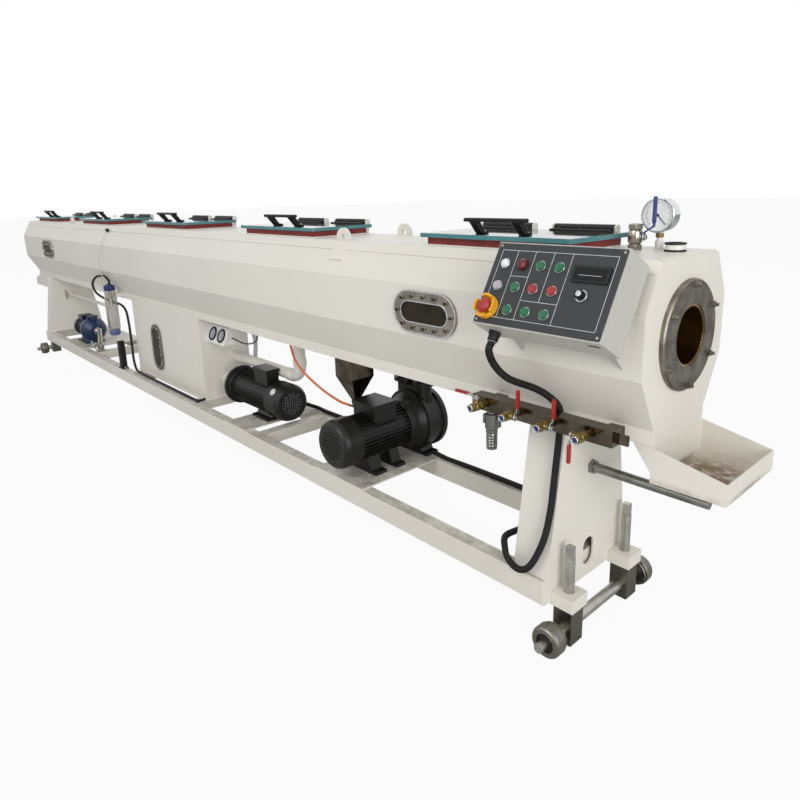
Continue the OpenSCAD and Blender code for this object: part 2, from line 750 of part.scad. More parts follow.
// A ball valve: hexagon ends, a round body between them, and a capped outlet
module valve_body(r, len) {
    cylinder(r = r * 0.72, h = len);
    translate([0, 0, len * 0.2]) cylinder(r = r, h = len * 0.18, $fn = 6);
    translate([0, 0, len * 0.36]) rotate_extrude()
        polygon([[0, 0], [r * 0.8, 0], [r, len * 0.1], [r, len * 0.28], [r * 0.8, len * 0.38], [0, len * 0.38]]);
    translate([0, 0, len * 0.72]) cylinder(r = r * 0.95, h = len * 0.14, $fn = 6);
    translate([0, 0, len * 0.86]) cylinder(r = r * 0.85, h = len * 0.14);
}
module manifold_valves() {
    color([0.78, 0.62, 0.30]) for (i = [1:4]) translate([valve_x(i), 0, mani_z]) union() {
        translate([0, valve_y0, 0]) rotate([90, 0, 0]) valve_body(valve_r, valve_len);
        translate([0, stem_y, 0]) rotate([0, stem_turn[i - 1], 0]) {
            cylinder(r = stem_r + 4, h = stem_h - 13);
            cylinder(r = stem_r, h = stem_h);
        }
    }
}

// A flat lever on a valve's stem, cranked up over a run. It lies along -X, with the stem along Z.
module lever(len, up = 8, run = 8) {
    w = 13;
    bend = -14 - run;
    difference() {
        union() {
            translate([0, 0, stem_h - 9]) cylinder(r = 10, h = lever_t);
            translate([0, 0, stem_h - 9]) along_y(-w / 2, w / 2) polygon([[0, 0], [-14, 0], [bend, up],
                [-len + w / 2, up], [-len + w / 2, up + lever_t], [bend - 1, up + lever_t], [-15, lever_t],
                [0, lever_t]]);
            translate([-len + w / 2, 0, stem_h - 9 + up]) cylinder(r = w / 2, h = lever_t);
        }
        translate([0, 0, stem_h - 20]) cylinder(r = stem_r + run_gap, h = 40);
    }
}
module lever_at(i) {
    color([0.75, 0.08, 0.08]) translate([valve_x(i), stem_y, mani_z])
        rotate([0, stem_turn[i - 1], 0]) lever(lever_len);
}
module lever_1() { lever_at(1); }
module lever_2() { lever_at(2); }
module lever_3() { lever_at(3); }
module lever_4() { lever_at(4); }

// Fittings on the tank top near the entry
tv_x = xe - 189;
tv_y = 50;
tv_h = 73;
tv_r = 20;
tv_stem_z = sheet_z + 36;
port_x = xe - 76;
port_y = 62;
port_r = 29;
port_h = 24;
module top_fittings() {
    color(steel) union() {
        translate([tv_x, tv_y, sheet_z]) {
            cylinder(r = tv_r * 0.75, h = tv_h);
            cylinder(r = tv_r, h = 16, $fn = 8);
            translate([0, 0, 17]) rotate_extrude() polygon([[0, 0], [tv_r * 0.8, 0], [tv_r, 6], [tv_r, 34],
                [tv_r * 0.8, 40], [0, 40]]);
            translate([0, 0, tv_h - 15]) cylinder(r = tv_r, h = 15, $fn = 8);
        }
        translate([tv_x, tv_y, tv_stem_z]) rotate([90, 0, 90]) {
            cylinder(r = stem_r + 4, h = stem_h - 13);
            cylinder(r = stem_r, h = stem_h);
        }
        translate([port_x, port_y, sheet_z]) rotate_extrude() polygon([[0, 0], [port_r, 0], [port_r, 5], [port_r - 3, 6],
            [port_r - 3, port_h - 6], [port_r, port_h - 5], [port_r, port_h], [port_r - 9, port_h], [port_r - 9, 8], [0, 8]]);
    }
}
module top_lever() {
    color([0.12, 0.25, 0.60]) translate([tv_x, tv_y, tv_stem_z]) rotate([0, 90, 0]) lever(112, 27, 18);
}

gauge_r = 49;
gauge_t = 47;
gauge_y = 104;
gauge_z = sheet_z + 95;
// A round gauge on its post: a turned case with a raised bezel around the dial
module vacuum_gauge() {
    color(steel) translate([xe - 143, gauge_y, 0]) union() {
        translate([0, 0, sheet_z]) cylinder(r = 8, h = gauge_z - sheet_z - gauge_r + 8);
        translate([0, 0, sheet_z]) cylinder(r = 15, h = 24, $fn = 6);
        translate([0, gauge_t / 2, gauge_z]) rotate([90, 0, 0]) rotate_extrude()
            polygon([[0, 0], [gauge_r - 6, 0], [gauge_r - 3, 3], [gauge_r - 3, gauge_t - 10], [gauge_r, gauge_t - 10],
                [gauge_r, gauge_t - 2], [gauge_r - 2, gauge_t], [gauge_r - 5, gauge_t], [gauge_r - 6, gauge_t - 5],
                [0, gauge_t - 5]]);
    }
}

// An open tray under the entry, its rim falling towards the outer end
module drip_tray() {
    z0 = rail_z - tray_h0;
    hem = 50;
    color(paint) translate([xe - hem, -tray_w / 2, rail_z - tray_t]) cube([hem + eps, tray_w, tray_t]);
    color(paint) for (s = [0, 1]) mirror([0, s, 0]) along_y(-tray_w / 2, -tray_w / 2 + tray_t)
        polygon([[xe - hem, rail_z - tray_t / 2], [xe + eps, rail_z - tray_t / 2], [xe + eps, rail_z - 70]]);
    color(paint) difference() {
        along_y(-tray_w / 2, tray_w / 2) polygon([[xe, z0], [xe + tray_len, z0], [xe + tray_len, z0 + tray_h1],
            [xe, z0 + tray_h0]]);
        translate([xe + tray_t, -tray_w / 2 + tray_t, z0 + tray_t])
            cube([tray_len - 2 * tray_t, tray_w - 2 * tray_t, tray_h0]);
    }
}

rod_z = rail_z - 183;
module drain_rod() {
    color(steel) translate([leg_x + leg_t, 0, rod_z]) rotate([0, 90, 0]) {
        cylinder(r = 15, h = leg_in + 96);
        cylinder(r = 24, h = 12, $fn = 6);
    }
}

module water_box() {
    lid_t = 6;
    color(paint) union() {
        translate([box_x - box_len / 2, -box_d / 2, deck_z]) cube([box_len, box_d, rail_z - deck_z]);
        translate([box_x - box_len / 2 - 8, -box_d / 2 - 8, deck_z]) cube([box_len + 16, box_d + 16, lid_t]);
    }
}

// The upright sight glass on the front of the water box
sight_x = box_x - 133;
sight_z = (deck_z + rail_z) / 2 - 24;
sight_b = 26;
module level_glass() {
    color(steel) translate([sight_x, 0, sight_z]) union() {
        along_y(-box_d / 2 - 10, -box_d / 2) difference() {
            stadium(sight_w, sight_h);
            stadium(sight_w - 2 * sight_b, sight_h - 2 * sight_b);
        }
        along_y(-box_d / 2 - 6, -box_d / 2) stadium(sight_w - 2 * sight_b, sight_h - 2 * sight_b);
    }
}

// A box with two round sockets in its sloping front, on the end of the water box
socket_tilt = 23;
module socket_box() {
    x0 = box_x + box_len / 2;
    y1 = -box_d / 2 + 134;
    z1 = rail_z - 38;
    run = socket_h * sin(socket_tilt);
    drop = socket_h * cos(socket_tilt);
    color([0.9, 0.9, 0.88]) union() {
        along_x(x0, x0 + socket_w) polygon([[y1 - socket_d, z1], [y1, z1], [y1, z1 - drop], [y1 - socket_d - run, z1 - drop]]);
        for (k = [0, 1]) translate([x0 + socket_w * (0.27 + 0.46 * k), y1 - socket_d - run / 2, z1 - drop / 2])
            rotate([90 - socket_tilt, 0, 0]) rotate_extrude()
                polygon([[0, -2], [40, -2], [40, 5], [36, 7], [31, 7], [31, 2], [0, 2]]);
    }
}

plate_z = deck_z + plate_t;
pump_mid = pump_x0 + 510;
module machine_plates() {
    color(paint) union() {
        translate([pump_mid - 100, -frame_w / 2, deck_z]) cube([200, frame_w, plate_t]);
        translate([vac_x - 160, -frame_w / 2, deck_z]) cube([320, frame_w, plate_t]);
        translate([blue_x - 350, -frame_w / 2, deck_z]) cube([480, frame_w, plate_t]);
    }
}

// Section of a finned motor body of outer radius r
module finned(r) {
    union() {
        circle(r = r - fin_h);
        for (k = [0:fin_n - 1]) rotate(k * 360 / fin_n) translate([r - fin_h - 3, -1.6]) square([fin_h + 3, 3.2]);
    }
}
// A motor along Z: end shield at 0, finned body, and a fan cover with a grille at its far end
module motor(r, len) {
    cover = 0.25 * len;
    cell = r / 7;
    bar = cell * 0.36;
    difference() {
        union() {
            cylinder(r = r - fin_h, h = len - 10);
            cylinder(r = r * 1.04, h = 16);
            translate([0, 0, 15]) linear_extrude(height = len - cover - 14) finned(r);
            translate([0, 0, len - cover]) rotate_extrude()
                polygon([[0, 0], [r + 6, 0], [r + 6, cover - 26], [r, cover - 9], [r - 10, cover], [0, cover]]);
        }
        for (i = [-4:4]) for (k = [-4:4]) if (i * i + k * k <= 18)
            translate([i * cell, k * cell, len - 3]) cube([cell - bar, cell - bar, 12], center = true);
    }
}
// A cast foot under a motor, w wide, from the plate up to the height h
module foot(w, d, h) {
    along_y(-d / 2, d / 2) polygon([[-w / 2, 0], [w / 2, 0], [w / 2, 14], [w / 2 - 30, 14], [w / 4, h],
        [-w / 4, h], [-w / 2 + 30, 14], [-w / 2, 14]]);
}
// A terminal box with an overhanging cover, from its bottom middle
module terminal_box(a, b, h) {
    translate([-a / 2, -b / 2, 0]) cube([a, b, h - 14]);
    translate([-a / 2 - 5, -b / 2 - 5, h - 18]) cube([a + 10, b + 10, 18]);
}

// The pump's outlet, beside its casing
riser_y = 102;
riser_h = 100;
module water_pump() {
    z = plate_z + shaft_h;
    case_x = pump_x0 + 95;
    motor_x = case_x + 95;
    color(black) union() {
        translate([case_x, 0, z]) rotate([0, 90, 0]) rotate_extrude() polygon([[0, 0], [44, 0], [68, 12], [86, 28],
            [97, 48], [101, 64], [108, 66], [108, 82], [96, 84], [96, 96], [0, 96]]);
        translate([motor_x, 0, z]) rotate([0, 90, 0]) motor(motor_r, pump_x1 - motor_x);
        translate([pump_mid, 0, plate_z]) rotate([0, 0, 90]) foot(190, 150, shaft_h - motor_r + 40);
        translate([motor_x + 288, -17, z]) terminal_box(130, 70, motor_r + 68);
        translate([case_x + 60, riser_y, z]) cylinder(r = 20, h = riser_h);
    }
}

module vacuum_pump() {
    z = plate_z + vac_h;
    y1 = 110;
    color(black) translate([vac_x, 0, 0]) union() {
        translate([0, y1, z]) rotate([90, 0, 0]) motor(vac_r, vac_len);
        translate([0, y1 - 1, z]) rotate([-90, 0, 0]) rotate_extrude() polygon([[0, 0], [vac_r - 4, 0], [vac_r + 4, 8],
            [vac_r + 12, 30], [casing_r - 12, 56], [casing_r, 58], [casing_r, 76], [casing_r - 10, 80],
            [casing_r - 10, casing_len - 54], [casing_r, casing_len - 50], [casing_r, casing_len - 30],
            [casing_r - 14, casing_len - 26], [casing_r - 40, casing_len], [0, casing_len]]);
        translate([0, -90, plate_z]) foot(216, 60, vac_h - vac_r + 40);
        translate([0, 20, plate_z]) foot(216, 50, vac_h - vac_r + 40);
        translate([0, y1 + casing_len * 0.46, plate_z]) foot(230, 70, vac_h - casing_r + 50);
        translate([0, -25, z]) terminal_box(140, 120, vac_r + 45);
        for (s = [-1, 1]) translate([s * 62, y1 + casing_len / 2, z]) {
            cylinder(r = 34, h = casing_r + 85);
            translate([0, 0, casing_r + 30]) cylinder(r = 50, h = 18);
            translate([0, 0, casing_r + 67]) cylinder(r = 50, h = 18);
        }
        translate([-62, y1 + casing_len / 2 - 34, z]) cube([124, 68, casing_r + 22]);
    }
}

module blue_pump() {
    z = plate_z + 112;
    y = -90;
    color([0.10, 0.25, 0.55]) union() {
        translate([blue_x - 60, y, z]) rotate([0, -90, 0]) motor(blue_r, 250);
        translate([blue_x - 62, y, z]) rotate([0, 90, 0]) rotate_extrude() polygon([[0, 0], [86, 0], [98, 10],
            [98, 40], [84, 62], [60, 84], [38, 92], [38, 128], [0, 128]]);
        translate([blue_x - 130, y, plate_z]) rotate([0, 0, 90]) foot(150, 200, 60);
        translate([blue_x - 20, y, z]) cylinder(r = 26, h = 112);
        translate([blue_x - 20, y, z + 100]) cylinder(r = 42, h = 14);
        translate([blue_x - 190, y, z]) terminal_box(90, 80, blue_r + 32);
    }
}

filter_x = box_x - box_len / 2 - filter_in;
filter_y = -base_w / 2 - filter_r - 39;
filter_z = rail_z - 253;
// A clear filter housing between two caps, on a bracket from the tank rail
module water_filter() {
    cap = 40;
    color([0.7, 0.8, 0.85]) translate([filter_x, filter_y, 0]) union() {
        translate([0, 0, filter_z]) rotate_extrude() polygon([[0, 0], [filter_r - 10, 0], [filter_r, 8], [filter_r, cap],
            [filter_r - 6, cap + 2], [filter_r - 6, filter_h - cap - 30], [filter_r, filter_h - cap - 28],
            [filter_r, filter_h - 20], [18, filter_h - 18], [18, filter_h], [0, filter_h]]);
        translate([-15, 0, rail_z + 8]) cube([30, -filter_y - base_w / 2, rail_h - 16]);
    }
}

barb_len = 42;
barb_z = base_z - sep_h - sep_cone - 40;
// A square separator under the tank, drawn in to a round outlet with a drain valve
module separator() {
    s = sep_s / 2;
    n = 14;
    z2 = base_z - sep_h;
    z1 = z2 - sep_cone;
    color(steel) translate([vac_x - sep_in, 0, 0]) union() {
        intersection() {
            along_x(-s, s) polygon([[-s, base_z], [-s, z2], [-n, z1], [n, z1], [s, z2], [s, base_z]]);
            along_y(-s, s) polygon([[-s, base_z], [-s, z2], [-n, z1], [n, z1], [s, z2], [s, base_z]]);
        }
        translate([0, 0, z1 - 45]) cylinder(r = 12, h = 60);
        translate([0, 0, z1 - 32]) cylinder(r = 17, h = 22, $fn = 6);
        translate([0, 0, barb_z]) rotate([0, -90, 0]) cylinder(r = 5, h = barb_len);
    }
}

// The return pipe from the tank down to the water box, and the suction pipe from the box to its pump
pipe_y = 55;
pipe_z = deck_z + pipe_up;
module pipework() {
    x1 = pump_x0 + pipe_run;
    color([0.9, 0.9, 0.88]) union() {
        translate([pump_x0, pipe_y, pipe_z]) rotate([0, 90, 0]) cylinder(r = pipe_r, h = pipe_run - bend_r);
        translate([x1 - bend_r, pipe_y, pipe_z + bend_r]) rotate([90, 0, 0]) rotate([0, 0, -90])
            rotate_extrude(angle = 90) translate([bend_r, 0]) circle(r = pipe_r);
        translate([x1, pipe_y, pipe_z + bend_r]) cylinder(r = pipe_r, h = base_z - pipe_z - bend_r);
        translate([x1 - bend_r - 40, pipe_y, pipe_z]) rotate([0, 90, 0]) cylinder(r = pipe_r + 4, h = 40);
        translate([x1, pipe_y, pipe_z + bend_r]) cylinder(r = pipe_r + 4, h = 40);
        translate([pump_x0, 0, plate_z + shaft_h]) rotate([0, 90, 0]) {
            cylinder(r = 34, h = 95);
            cylinder(r = 40, h = 26);
        }
    }
}

// Points of a smooth curve through the points p, n steps from each to the next
function curve(p, n) = let (m = len(p)) [for (i = [0:m - 2]) for (k = [0:i == m - 2 ? n : n - 1])
    let (t = k / n, a = p[max(i - 1, 0)], b = p[i], c = p[i + 1], d = p[min(i + 2, m - 1)])
    0.5 * (2 * b + (c - a) * t + (2 * a - 5 * b + 4 * c - d) * t * t + (3 * b - a - 3 * c + d) * t * t * t)];
// Direction of the curve q through the points p at each step; both ends stand square on their seats
function directions(p, q) = let (m = len(q), e = len(p) - 1) [for (i = [0:m - 1])
    unit(i == 0 ? p[1] - p[0] : i == m - 1 ? p[e] - p[e - 1] : q[i + 1] - q[i - 1])];
// Side vector of each cross-section, carried along the directions t without twist
function sides(t, i, u, out) = i == len(t) ? out
    : let (v = unit(u - t[i] * (u * t[i]))) sides(t, i + 1, v, concat(out, [v]));

// A round hose of radius r along the points p, with s sides
module hose(p, r, n = 4, s = 10) {
    q = curve(p, n);
    t = directions(p, q);
    u0 = unit(cross(t[0], abs(t[0][2]) < 0.9 ? [0, 0, 1] : [1, 0, 0]));
    u = sides(t, 0, u0, []);
    m = len(q);
    polyhedron(
        points = [for (i = [0:m - 1]) for (k = [0:s - 1])
            q[i] + r * (cos(360 * k / s) * u[i] + sin(360 * k / s) * cross(t[i], u[i]))],
        faces = concat([[for (k = [s - 1:-1:0]) k]],
            [for (i = [0:m - 2]) for (k = [0:s - 1]) let (j = (k + 1) % s)
                [i * s + k, i * s + j, (i + 1) * s + j]],
            [for (i = [0:m - 2]) for (k = [0:s - 1]) let (j = (k + 1) % s)
                [i * s + k, (i + 1) * s + j, (i + 1) * s + k]],
            [[for (k = [0:s - 1]) (m - 1) * s + k]]), convexity = 8);
}

conduit_r = 11;
gland = desk_pt(gland_u, -desk_l / 2 - gland_len - 0.3, gland_w);
rest_z = deck_z + conduit_r + 0.3;
// A place along the rear rail between the vacuum pump and the near leg, f from 0 to 1
function along_rail(f) = vac_x + 150 + f * (leg_x - 490 - vac_x);
// The black cable conduit from the desk, behind the manifold, down the leg and along the rear rail
conduit = [gland, desk_pt(gland_u, -desk_l / 2 - gland_len - 26, gland_w), [gland[0] - 4, -352, axis_h - 80],
    [gland[0] + 14, -312, axis_h - 123], [leg_x - 30, -250, axis_h - 157], [leg_x - 3, -212, axis_h - 190],
    [leg_x + 4, -180, axis_h - 232], [leg_x + 2, -177, axis_h - 300], [leg_x, -192, axis_h - 435],
    [leg_x, -208, axis_h - 540], [leg_x - 10, -226, deck_z + 128], [leg_x - 40, -247, deck_z + 43],
    [leg_x - 80, -252, deck_z + 15], [leg_x - 125, -246, deck_z + 28], [leg_x - 150, -232, deck_z + 53],
    [leg_x - 180, -190, deck_z + 63], [leg_x - 190, -100, deck_z + 48], [leg_x - 195, 60, deck_z + 28],
    [leg_x - 240, 170, rest_z + 2], [along_rail(1), 205, rest_z], [along_rail(0.52), 210, rest_z],
    [along_rail(0.26), 206, rest_z + 1], [along_rail(0.11), 192, rest_z + 8], [along_rail(0), 184, rest_z + 20]];
// The conduit from the vacuum pump along the rear rail to the water pump's motor
motor_conduit = [[vac_x - 122, 194, rest_z + 26], [vac_x - 170, 202, rest_z + 8], [vac_x - 230, 206, rest_z + 1],
    [pump_x1 + 300, 207, rest_z], [pump_x1 + 100, 206, rest_z], [pump_x1, 204, rest_z + 1],
    [pump_x1 - 70, 196, rest_z + 9], [pump_x1 - 120, 172, rest_z + 20],
    [pump_x1 - 150, 138, rest_z + 38], [pump_x1 - 158, 112, rest_z + 62]];
// The thin black hose from the filter: a loop behind it, down the water box and along the front rail
filter_top = filter_z + filter_h;
box_x0 = box_x - box_len / 2;
thin_z = deck_z + 8.3;
filter_hose = [[filter_x + 9, filter_y, filter_top + 0.3], [filter_x + 9, filter_y, filter_top + 26],
    [filter_x - 62, filter_y - 6, filter_top + 50], [filter_x - 200, filter_y - 14, filter_top + 34],
    [filter_x - 300, filter_y - 14, filter_top - 22], [filter_x - 278, filter_y - 6, filter_top - 84],
    [filter_x - 190, filter_y + 22, filter_top - 124], [filter_x - 80, filter_y + 50, filter_top - 142],
    [filter_x + 30, filter_y + 56, filter_top - 150], [box_x0 - 62, filter_y + 50, filter_top - 176],
    [box_x0 - 22, filter_y + 44, filter_top - 230], [box_x0 - 8, filter_y + 42, deck_z + 278],
    [box_x0 - 8, filter_y + 42, deck_z + 158], [box_x0, -185, deck_z + 78], [box_x0 + 60, -194, deck_z + 20],
    [box_x0 + 160, -195, thin_z + 1.4], [box_x0 + 400, -194, thin_z], [box_x0 + 680, -194, thin_z],
    [pump_x0 - 10, -194, thin_z]];
module hoses() {
    color(black) {
        hose(conduit, conduit_r);
        hose(motor_conduit, conduit_r);
        hose(filter_hose, 8, 4, 8);
    }
}

// The orange hose from the tank to the separator's drain valve
orange_x = vac_x - 650;
module orange_hose() {
    color([0.95, 0.45, 0.25]) hose([[orange_x, -20, base_z - 0.3], [orange_x, -20, base_z - 60],
        [orange_x + 8, -20, base_z - 112], [orange_x + 32, -20, base_z - 165], [orange_x + 84, -20, base_z - 208],
        [orange_x + 165, -20, base_z - 246], [orange_x + 270, -16, base_z - 284], [orange_x + 370, -4, barb_z + 3],
        [orange_x + 412, 0, barb_z], [vac_x - sep_in - barb_len - 0.3, 0, barb_z]], 6, 4, 8);
}

// The pale tubes: from the water pump up to the tank, and from the tank's front down to the filter
riser_x = pump_x0 + 155;
riser_z = plate_z + shaft_h + riser_h;
module clear_tubes() {
    color([0.88, 0.88, 0.88]) {
        hose([[riser_x, riser_y, riser_z + 0.3], [riser_x, riser_y, riser_z + 34],
            [riser_x + 2, riser_y + 8, riser_z + 110], [riser_x + 4, riser_y + 2, base_z - 158],
            [riser_x + 4, riser_y - 18, base_z - 100], [riser_x + 4, riser_y - 30, base_z - 50],
            [riser_x + 4, riser_y - 30, base_z - 0.3]], 12, 4, 8);
        hose([[filter_x + 8, -192, axis_h + 180], [filter_x + 4, -214, axis_h + 145],
            [filter_x - 4, -245, axis_h + 65], [filter_x - 10, -260, axis_h - 35],
            [filter_x - 12, -262, filter_top + 70],
            [filter_x - 10, filter_y - 10, filter_top + 28],
            [filter_x - 10, filter_y - 10, filter_top + 0.3]], 3, 4, 8);
    }
}

place() tank_bottom();
place() lower_front_plate();
place() lower_back_plate();
place() front_wall();
place() back_wall();
place() upper_front_plate();
place() upper_back_plate();
place() tank_top();
place() entry_end();
place() exit_end();
place() lid_seals();
place() lid_1();
place() lid_2();
place() lid_3();
place() lid_4();
place() lid_5();
place() window_frames();
place() window_glass();
place() tank_rails();
place() near_leg();
place() far_leg();
place() front_rail();
place() rear_rail();
place() cross_members();
place() machine_plates();
place() near_axle();
place() far_axle();
place() wheel_near_front();
place() wheel_near_back();
place() wheel_far_front();
place() wheel_far_back();
place() control_desk();
place() control_panel();
place() water_manifold();
place() manifold_valves();
place() lever_1();
place() lever_2();
place() lever_3();
place() lever_4();
place() top_fittings();
place() top_lever();
place() vacuum_gauge();
place() entry_disc();
place() brass_sleeve();
place() drip_tray();
place() drain_rod();
place() water_box();
place() water_pump();
place() vacuum_pump();
place() blue_pump();
place() water_filter();
place() separator();
place() pipework();
place() hoses();
place() level_glass();
place() socket_box();
place() orange_hose();
place() clear_tubes();
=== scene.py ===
# Looks of a vacuum calibration tank for plastic pipe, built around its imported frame.
import math

import bmesh
import bpy
from mathutils import Euler, Matrix, Vector


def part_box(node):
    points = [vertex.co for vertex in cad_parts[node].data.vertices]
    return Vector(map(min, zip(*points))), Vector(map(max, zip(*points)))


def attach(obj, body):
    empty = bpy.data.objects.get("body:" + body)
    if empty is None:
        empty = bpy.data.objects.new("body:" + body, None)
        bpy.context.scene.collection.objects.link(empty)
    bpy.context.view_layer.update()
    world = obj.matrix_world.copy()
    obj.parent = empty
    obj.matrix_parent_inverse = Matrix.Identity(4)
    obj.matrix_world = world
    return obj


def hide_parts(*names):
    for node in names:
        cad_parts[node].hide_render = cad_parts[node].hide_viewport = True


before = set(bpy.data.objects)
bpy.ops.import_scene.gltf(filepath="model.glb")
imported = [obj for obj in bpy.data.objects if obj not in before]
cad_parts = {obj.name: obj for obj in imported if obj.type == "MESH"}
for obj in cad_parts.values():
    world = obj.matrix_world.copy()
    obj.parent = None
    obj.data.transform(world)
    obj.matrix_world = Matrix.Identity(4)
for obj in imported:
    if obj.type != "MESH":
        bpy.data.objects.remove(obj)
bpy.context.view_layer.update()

MM = 0.001
# The machine's own drawing has its origin on the floor, under the middle of the tank.
low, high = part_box("tank_bottom")
TANK = Vector(((low.x + high.x) / 2, (low.y + high.y) / 2, 0))

# Places that several pieces share, in millimetres of the machine's drawing
AXIS_Z = 975  # the pipe's axis
SHEET_Z = 1188  # the tank's top sheet
BASE_Z = 742  # the tank's underside
RAIL_Z = 698  # the underside of the tank's rails
DECK_Z = 212  # the top of the bottom rails
LID_BOTTOM, LID_TOP = 1216, 1230
LID_X = [2450 - 1220 * i for i in (4, 3, 2, 1, 0)]
HINGE_Y, HINGE_Z = 163, 1238
VENT_X, VENT_Y, VENT_STEM = 2811, 50, SHEET_Z + 36
VALVE_X = [2870 - 121 * i for i in (3, 2, 1, 0)]
STEM_Y, STEM_Z = -284.7, 730
TURNS = (0, 90, 90, -90)  # how each water lever stands at rest
# The filter's hose ends in an elbow on the water box, whose front stands back from the hose by this gap.
FILTER_END = (300, -194, 220.3)
BOX_GAP = 46


def place(x, y, z, rx=0, ry=0, rz=0):
    """A frame at a point of the machine, turned about X, then Y, then Z, in degrees."""
    turn = Euler([math.radians(a) for a in (rx, ry, rz)], "XYZ").to_matrix().to_4x4()
    return Matrix.Translation((x, y, z)) @ turn


def point(x, y, z):
    """A point of the machine in millimetres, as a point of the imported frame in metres."""
    return TANK + Vector((x, y, z)) * MM


# Camera: solved from the photograph's edges, with its tilt and off-centre frame. The lens is in pixels.
PHOTO_SIDE = 800
FOCAL, CENTRE_U, CENTRE_V = 641.5, 411.8, 348.9
EYE = (3731, -1669, 1367)
YAW, PITCH, ROLL = 47.39, 13.85, -1.47
SENSOR = 36


def make_camera():
    yaw, pitch, roll = (math.radians(a) for a in (YAW, PITCH, ROLL))
    ahead = Vector((-math.sin(yaw) * math.cos(pitch), math.cos(yaw) * math.cos(pitch), -math.sin(pitch)))
    right = ahead.cross(Vector((0, 0, 1))).normalized()
    up = right.cross(ahead)
    right, up = (
        math.cos(roll) * right + math.sin(roll) * up,
        math.cos(roll) * up - math.sin(roll) * right,
    )
    data = bpy.data.cameras.new("camera")
    data.sensor_width = SENSOR
    data.lens = SENSOR * FOCAL / PHOTO_SIDE
    data.shift_x = (PHOTO_SIDE / 2 - CENTRE_U) / PHOTO_SIDE
    data.shift_y = (CENTRE_V - PHOTO_SIDE / 2) / PHOTO_SIDE
    data.clip_end = 200
    camera = bpy.data.objects.new("camera", data)
    aim = Matrix((right, up, -ahead)).transposed().to_4x4()
    camera.matrix_world = Matrix.Translation(point(*EYE)) @ aim
    bpy.context.scene.collection.objects.link(camera)
    bpy.context.scene.camera = camera


make_camera()

# Finishes. A colour Mix node's sockets share their names, so they go by number.
MIX_A, MIX_B, MIX_OUT = 6, 7, 2


def linear(colour):
    """An sRGB hex colour as linear RGBA."""
    parts = [int(colour[i : i + 2], 16) / 255 for i in (1, 3, 5)]
    return [c / 12.92 if c <= 0.04045 else ((c + 0.055) / 1.055) ** 2.4 for c in parts] + [1]


def add(tree, kind, inputs=None, **settings):
    """A node with its settings, each a property or an input's value, and its inputs, each linked or set."""
    node = tree.nodes.new(kind)
    for name, value in settings.items():
        if hasattr(node, name):
            setattr(node, name, value)
        else:
            node.inputs[name.replace("_", " ")].default_value = value
    for name, source in (inputs or {}).items():
        if isinstance(source, bpy.types.NodeSocket):
            tree.links.new(source, node.inputs[name])
        else:
            node.inputs[name].default_value = source
    return node


def maths(tree, operation, *values):
    inputs = dict(enumerate(values))
    return add(tree, "ShaderNodeMath", inputs, operation=operation).outputs[0]


def coordinates(tree):
    return add(tree, "ShaderNodeTexCoord").outputs["Object"]


def axes(tree, vector):
    return add(tree, "ShaderNodeSeparateXYZ", {"Vector": vector}).outputs


def patches(tree, spot, size_mm, detail, roughness=0.5):
    """Noise in patches of about size_mm."""
    noise = add(
        tree, "ShaderNodeTexNoise", {"Vector": spot}, Scale=1000 / size_mm, Detail=detail, Roughness=roughness
    )
    return noise.outputs["Fac"]


def ramp(tree, value, start, end, first=0.0, last=1.0):
    """A value that goes from first to last while another goes from start to end."""
    node = add(
        tree, "ShaderNodeMapRange", {"Value": value}, From_Min=start, From_Max=end, To_Min=first, To_Max=last
    )
    return node.outputs["Result"]


def colour_mix(tree, shader, share, first, second):
    """The shader's colour, as a mix of two."""
    mix = add(tree, "ShaderNodeMix", {"Factor": share, MIX_A: first, MIX_B: second}, data_type="RGBA")
    tree.links.new(mix.outputs[MIX_OUT], shader.inputs["Base Color"])


def overlay(tree, shader, mask, colour):
    """Another colour over the shader's own, where a mask is 1."""
    own = shader.inputs["Base Color"].links[0].from_socket
    colour_mix(tree, shader, mask, own, linear(colour))


def finish(name, colour, metallic=0.0, roughness=0.5, **sockets):
    """A plain surface; the patterns of each material are added to its tree afterwards."""
    material = bpy.data.materials.new(name)
    material.use_nodes = True
    tree = material.node_tree
    shader = tree.nodes["Principled BSDF"]
    shader.inputs["Base Color"].default_value = linear(colour)
    shader.inputs["Metallic"].default_value = metallic
    shader.inputs["Roughness"].default_value = roughness
    for socket, value in sockets.items():
        shader.inputs[socket.replace("_", " ")].default_value = value
    return material, tree, shader


def mottled(tree, shader, base, other, patch_mm, share=0.5):
    """Slow changes of tone between two colours, in patches of about patch_mm."""
    spot = coordinates(tree)
    tone = ramp(tree, patches(tree, spot, patch_mm, 4), 0.35, 0.65, 0, share)
    colour_mix(tree, shader, tone, linear(base), linear(other))
    return spot


def grained(tree, shader, spot, grain_mm, depth_mm, edge_mm, stretch=(1, 1, 1)):
    """A fine relief of grains, and edges that look rounded by edge_mm."""
    size = add(tree, "ShaderNodeMapping", {"Vector": spot, "Scale": stretch})
    grains = patches(tree, size.outputs["Vector"], grain_mm, 2)
    edge = add(tree, "ShaderNodeBevel", samples=4, Radius=edge_mm * MM)
    relief = {"Height": grains, "Normal": edge.outputs["Normal"]}
    bump = add(tree, "ShaderNodeBump", relief, Strength=1.0, Distance=depth_mm * MM)
    tree.links.new(bump.outputs["Normal"], shader.inputs["Normal"])
    return grains


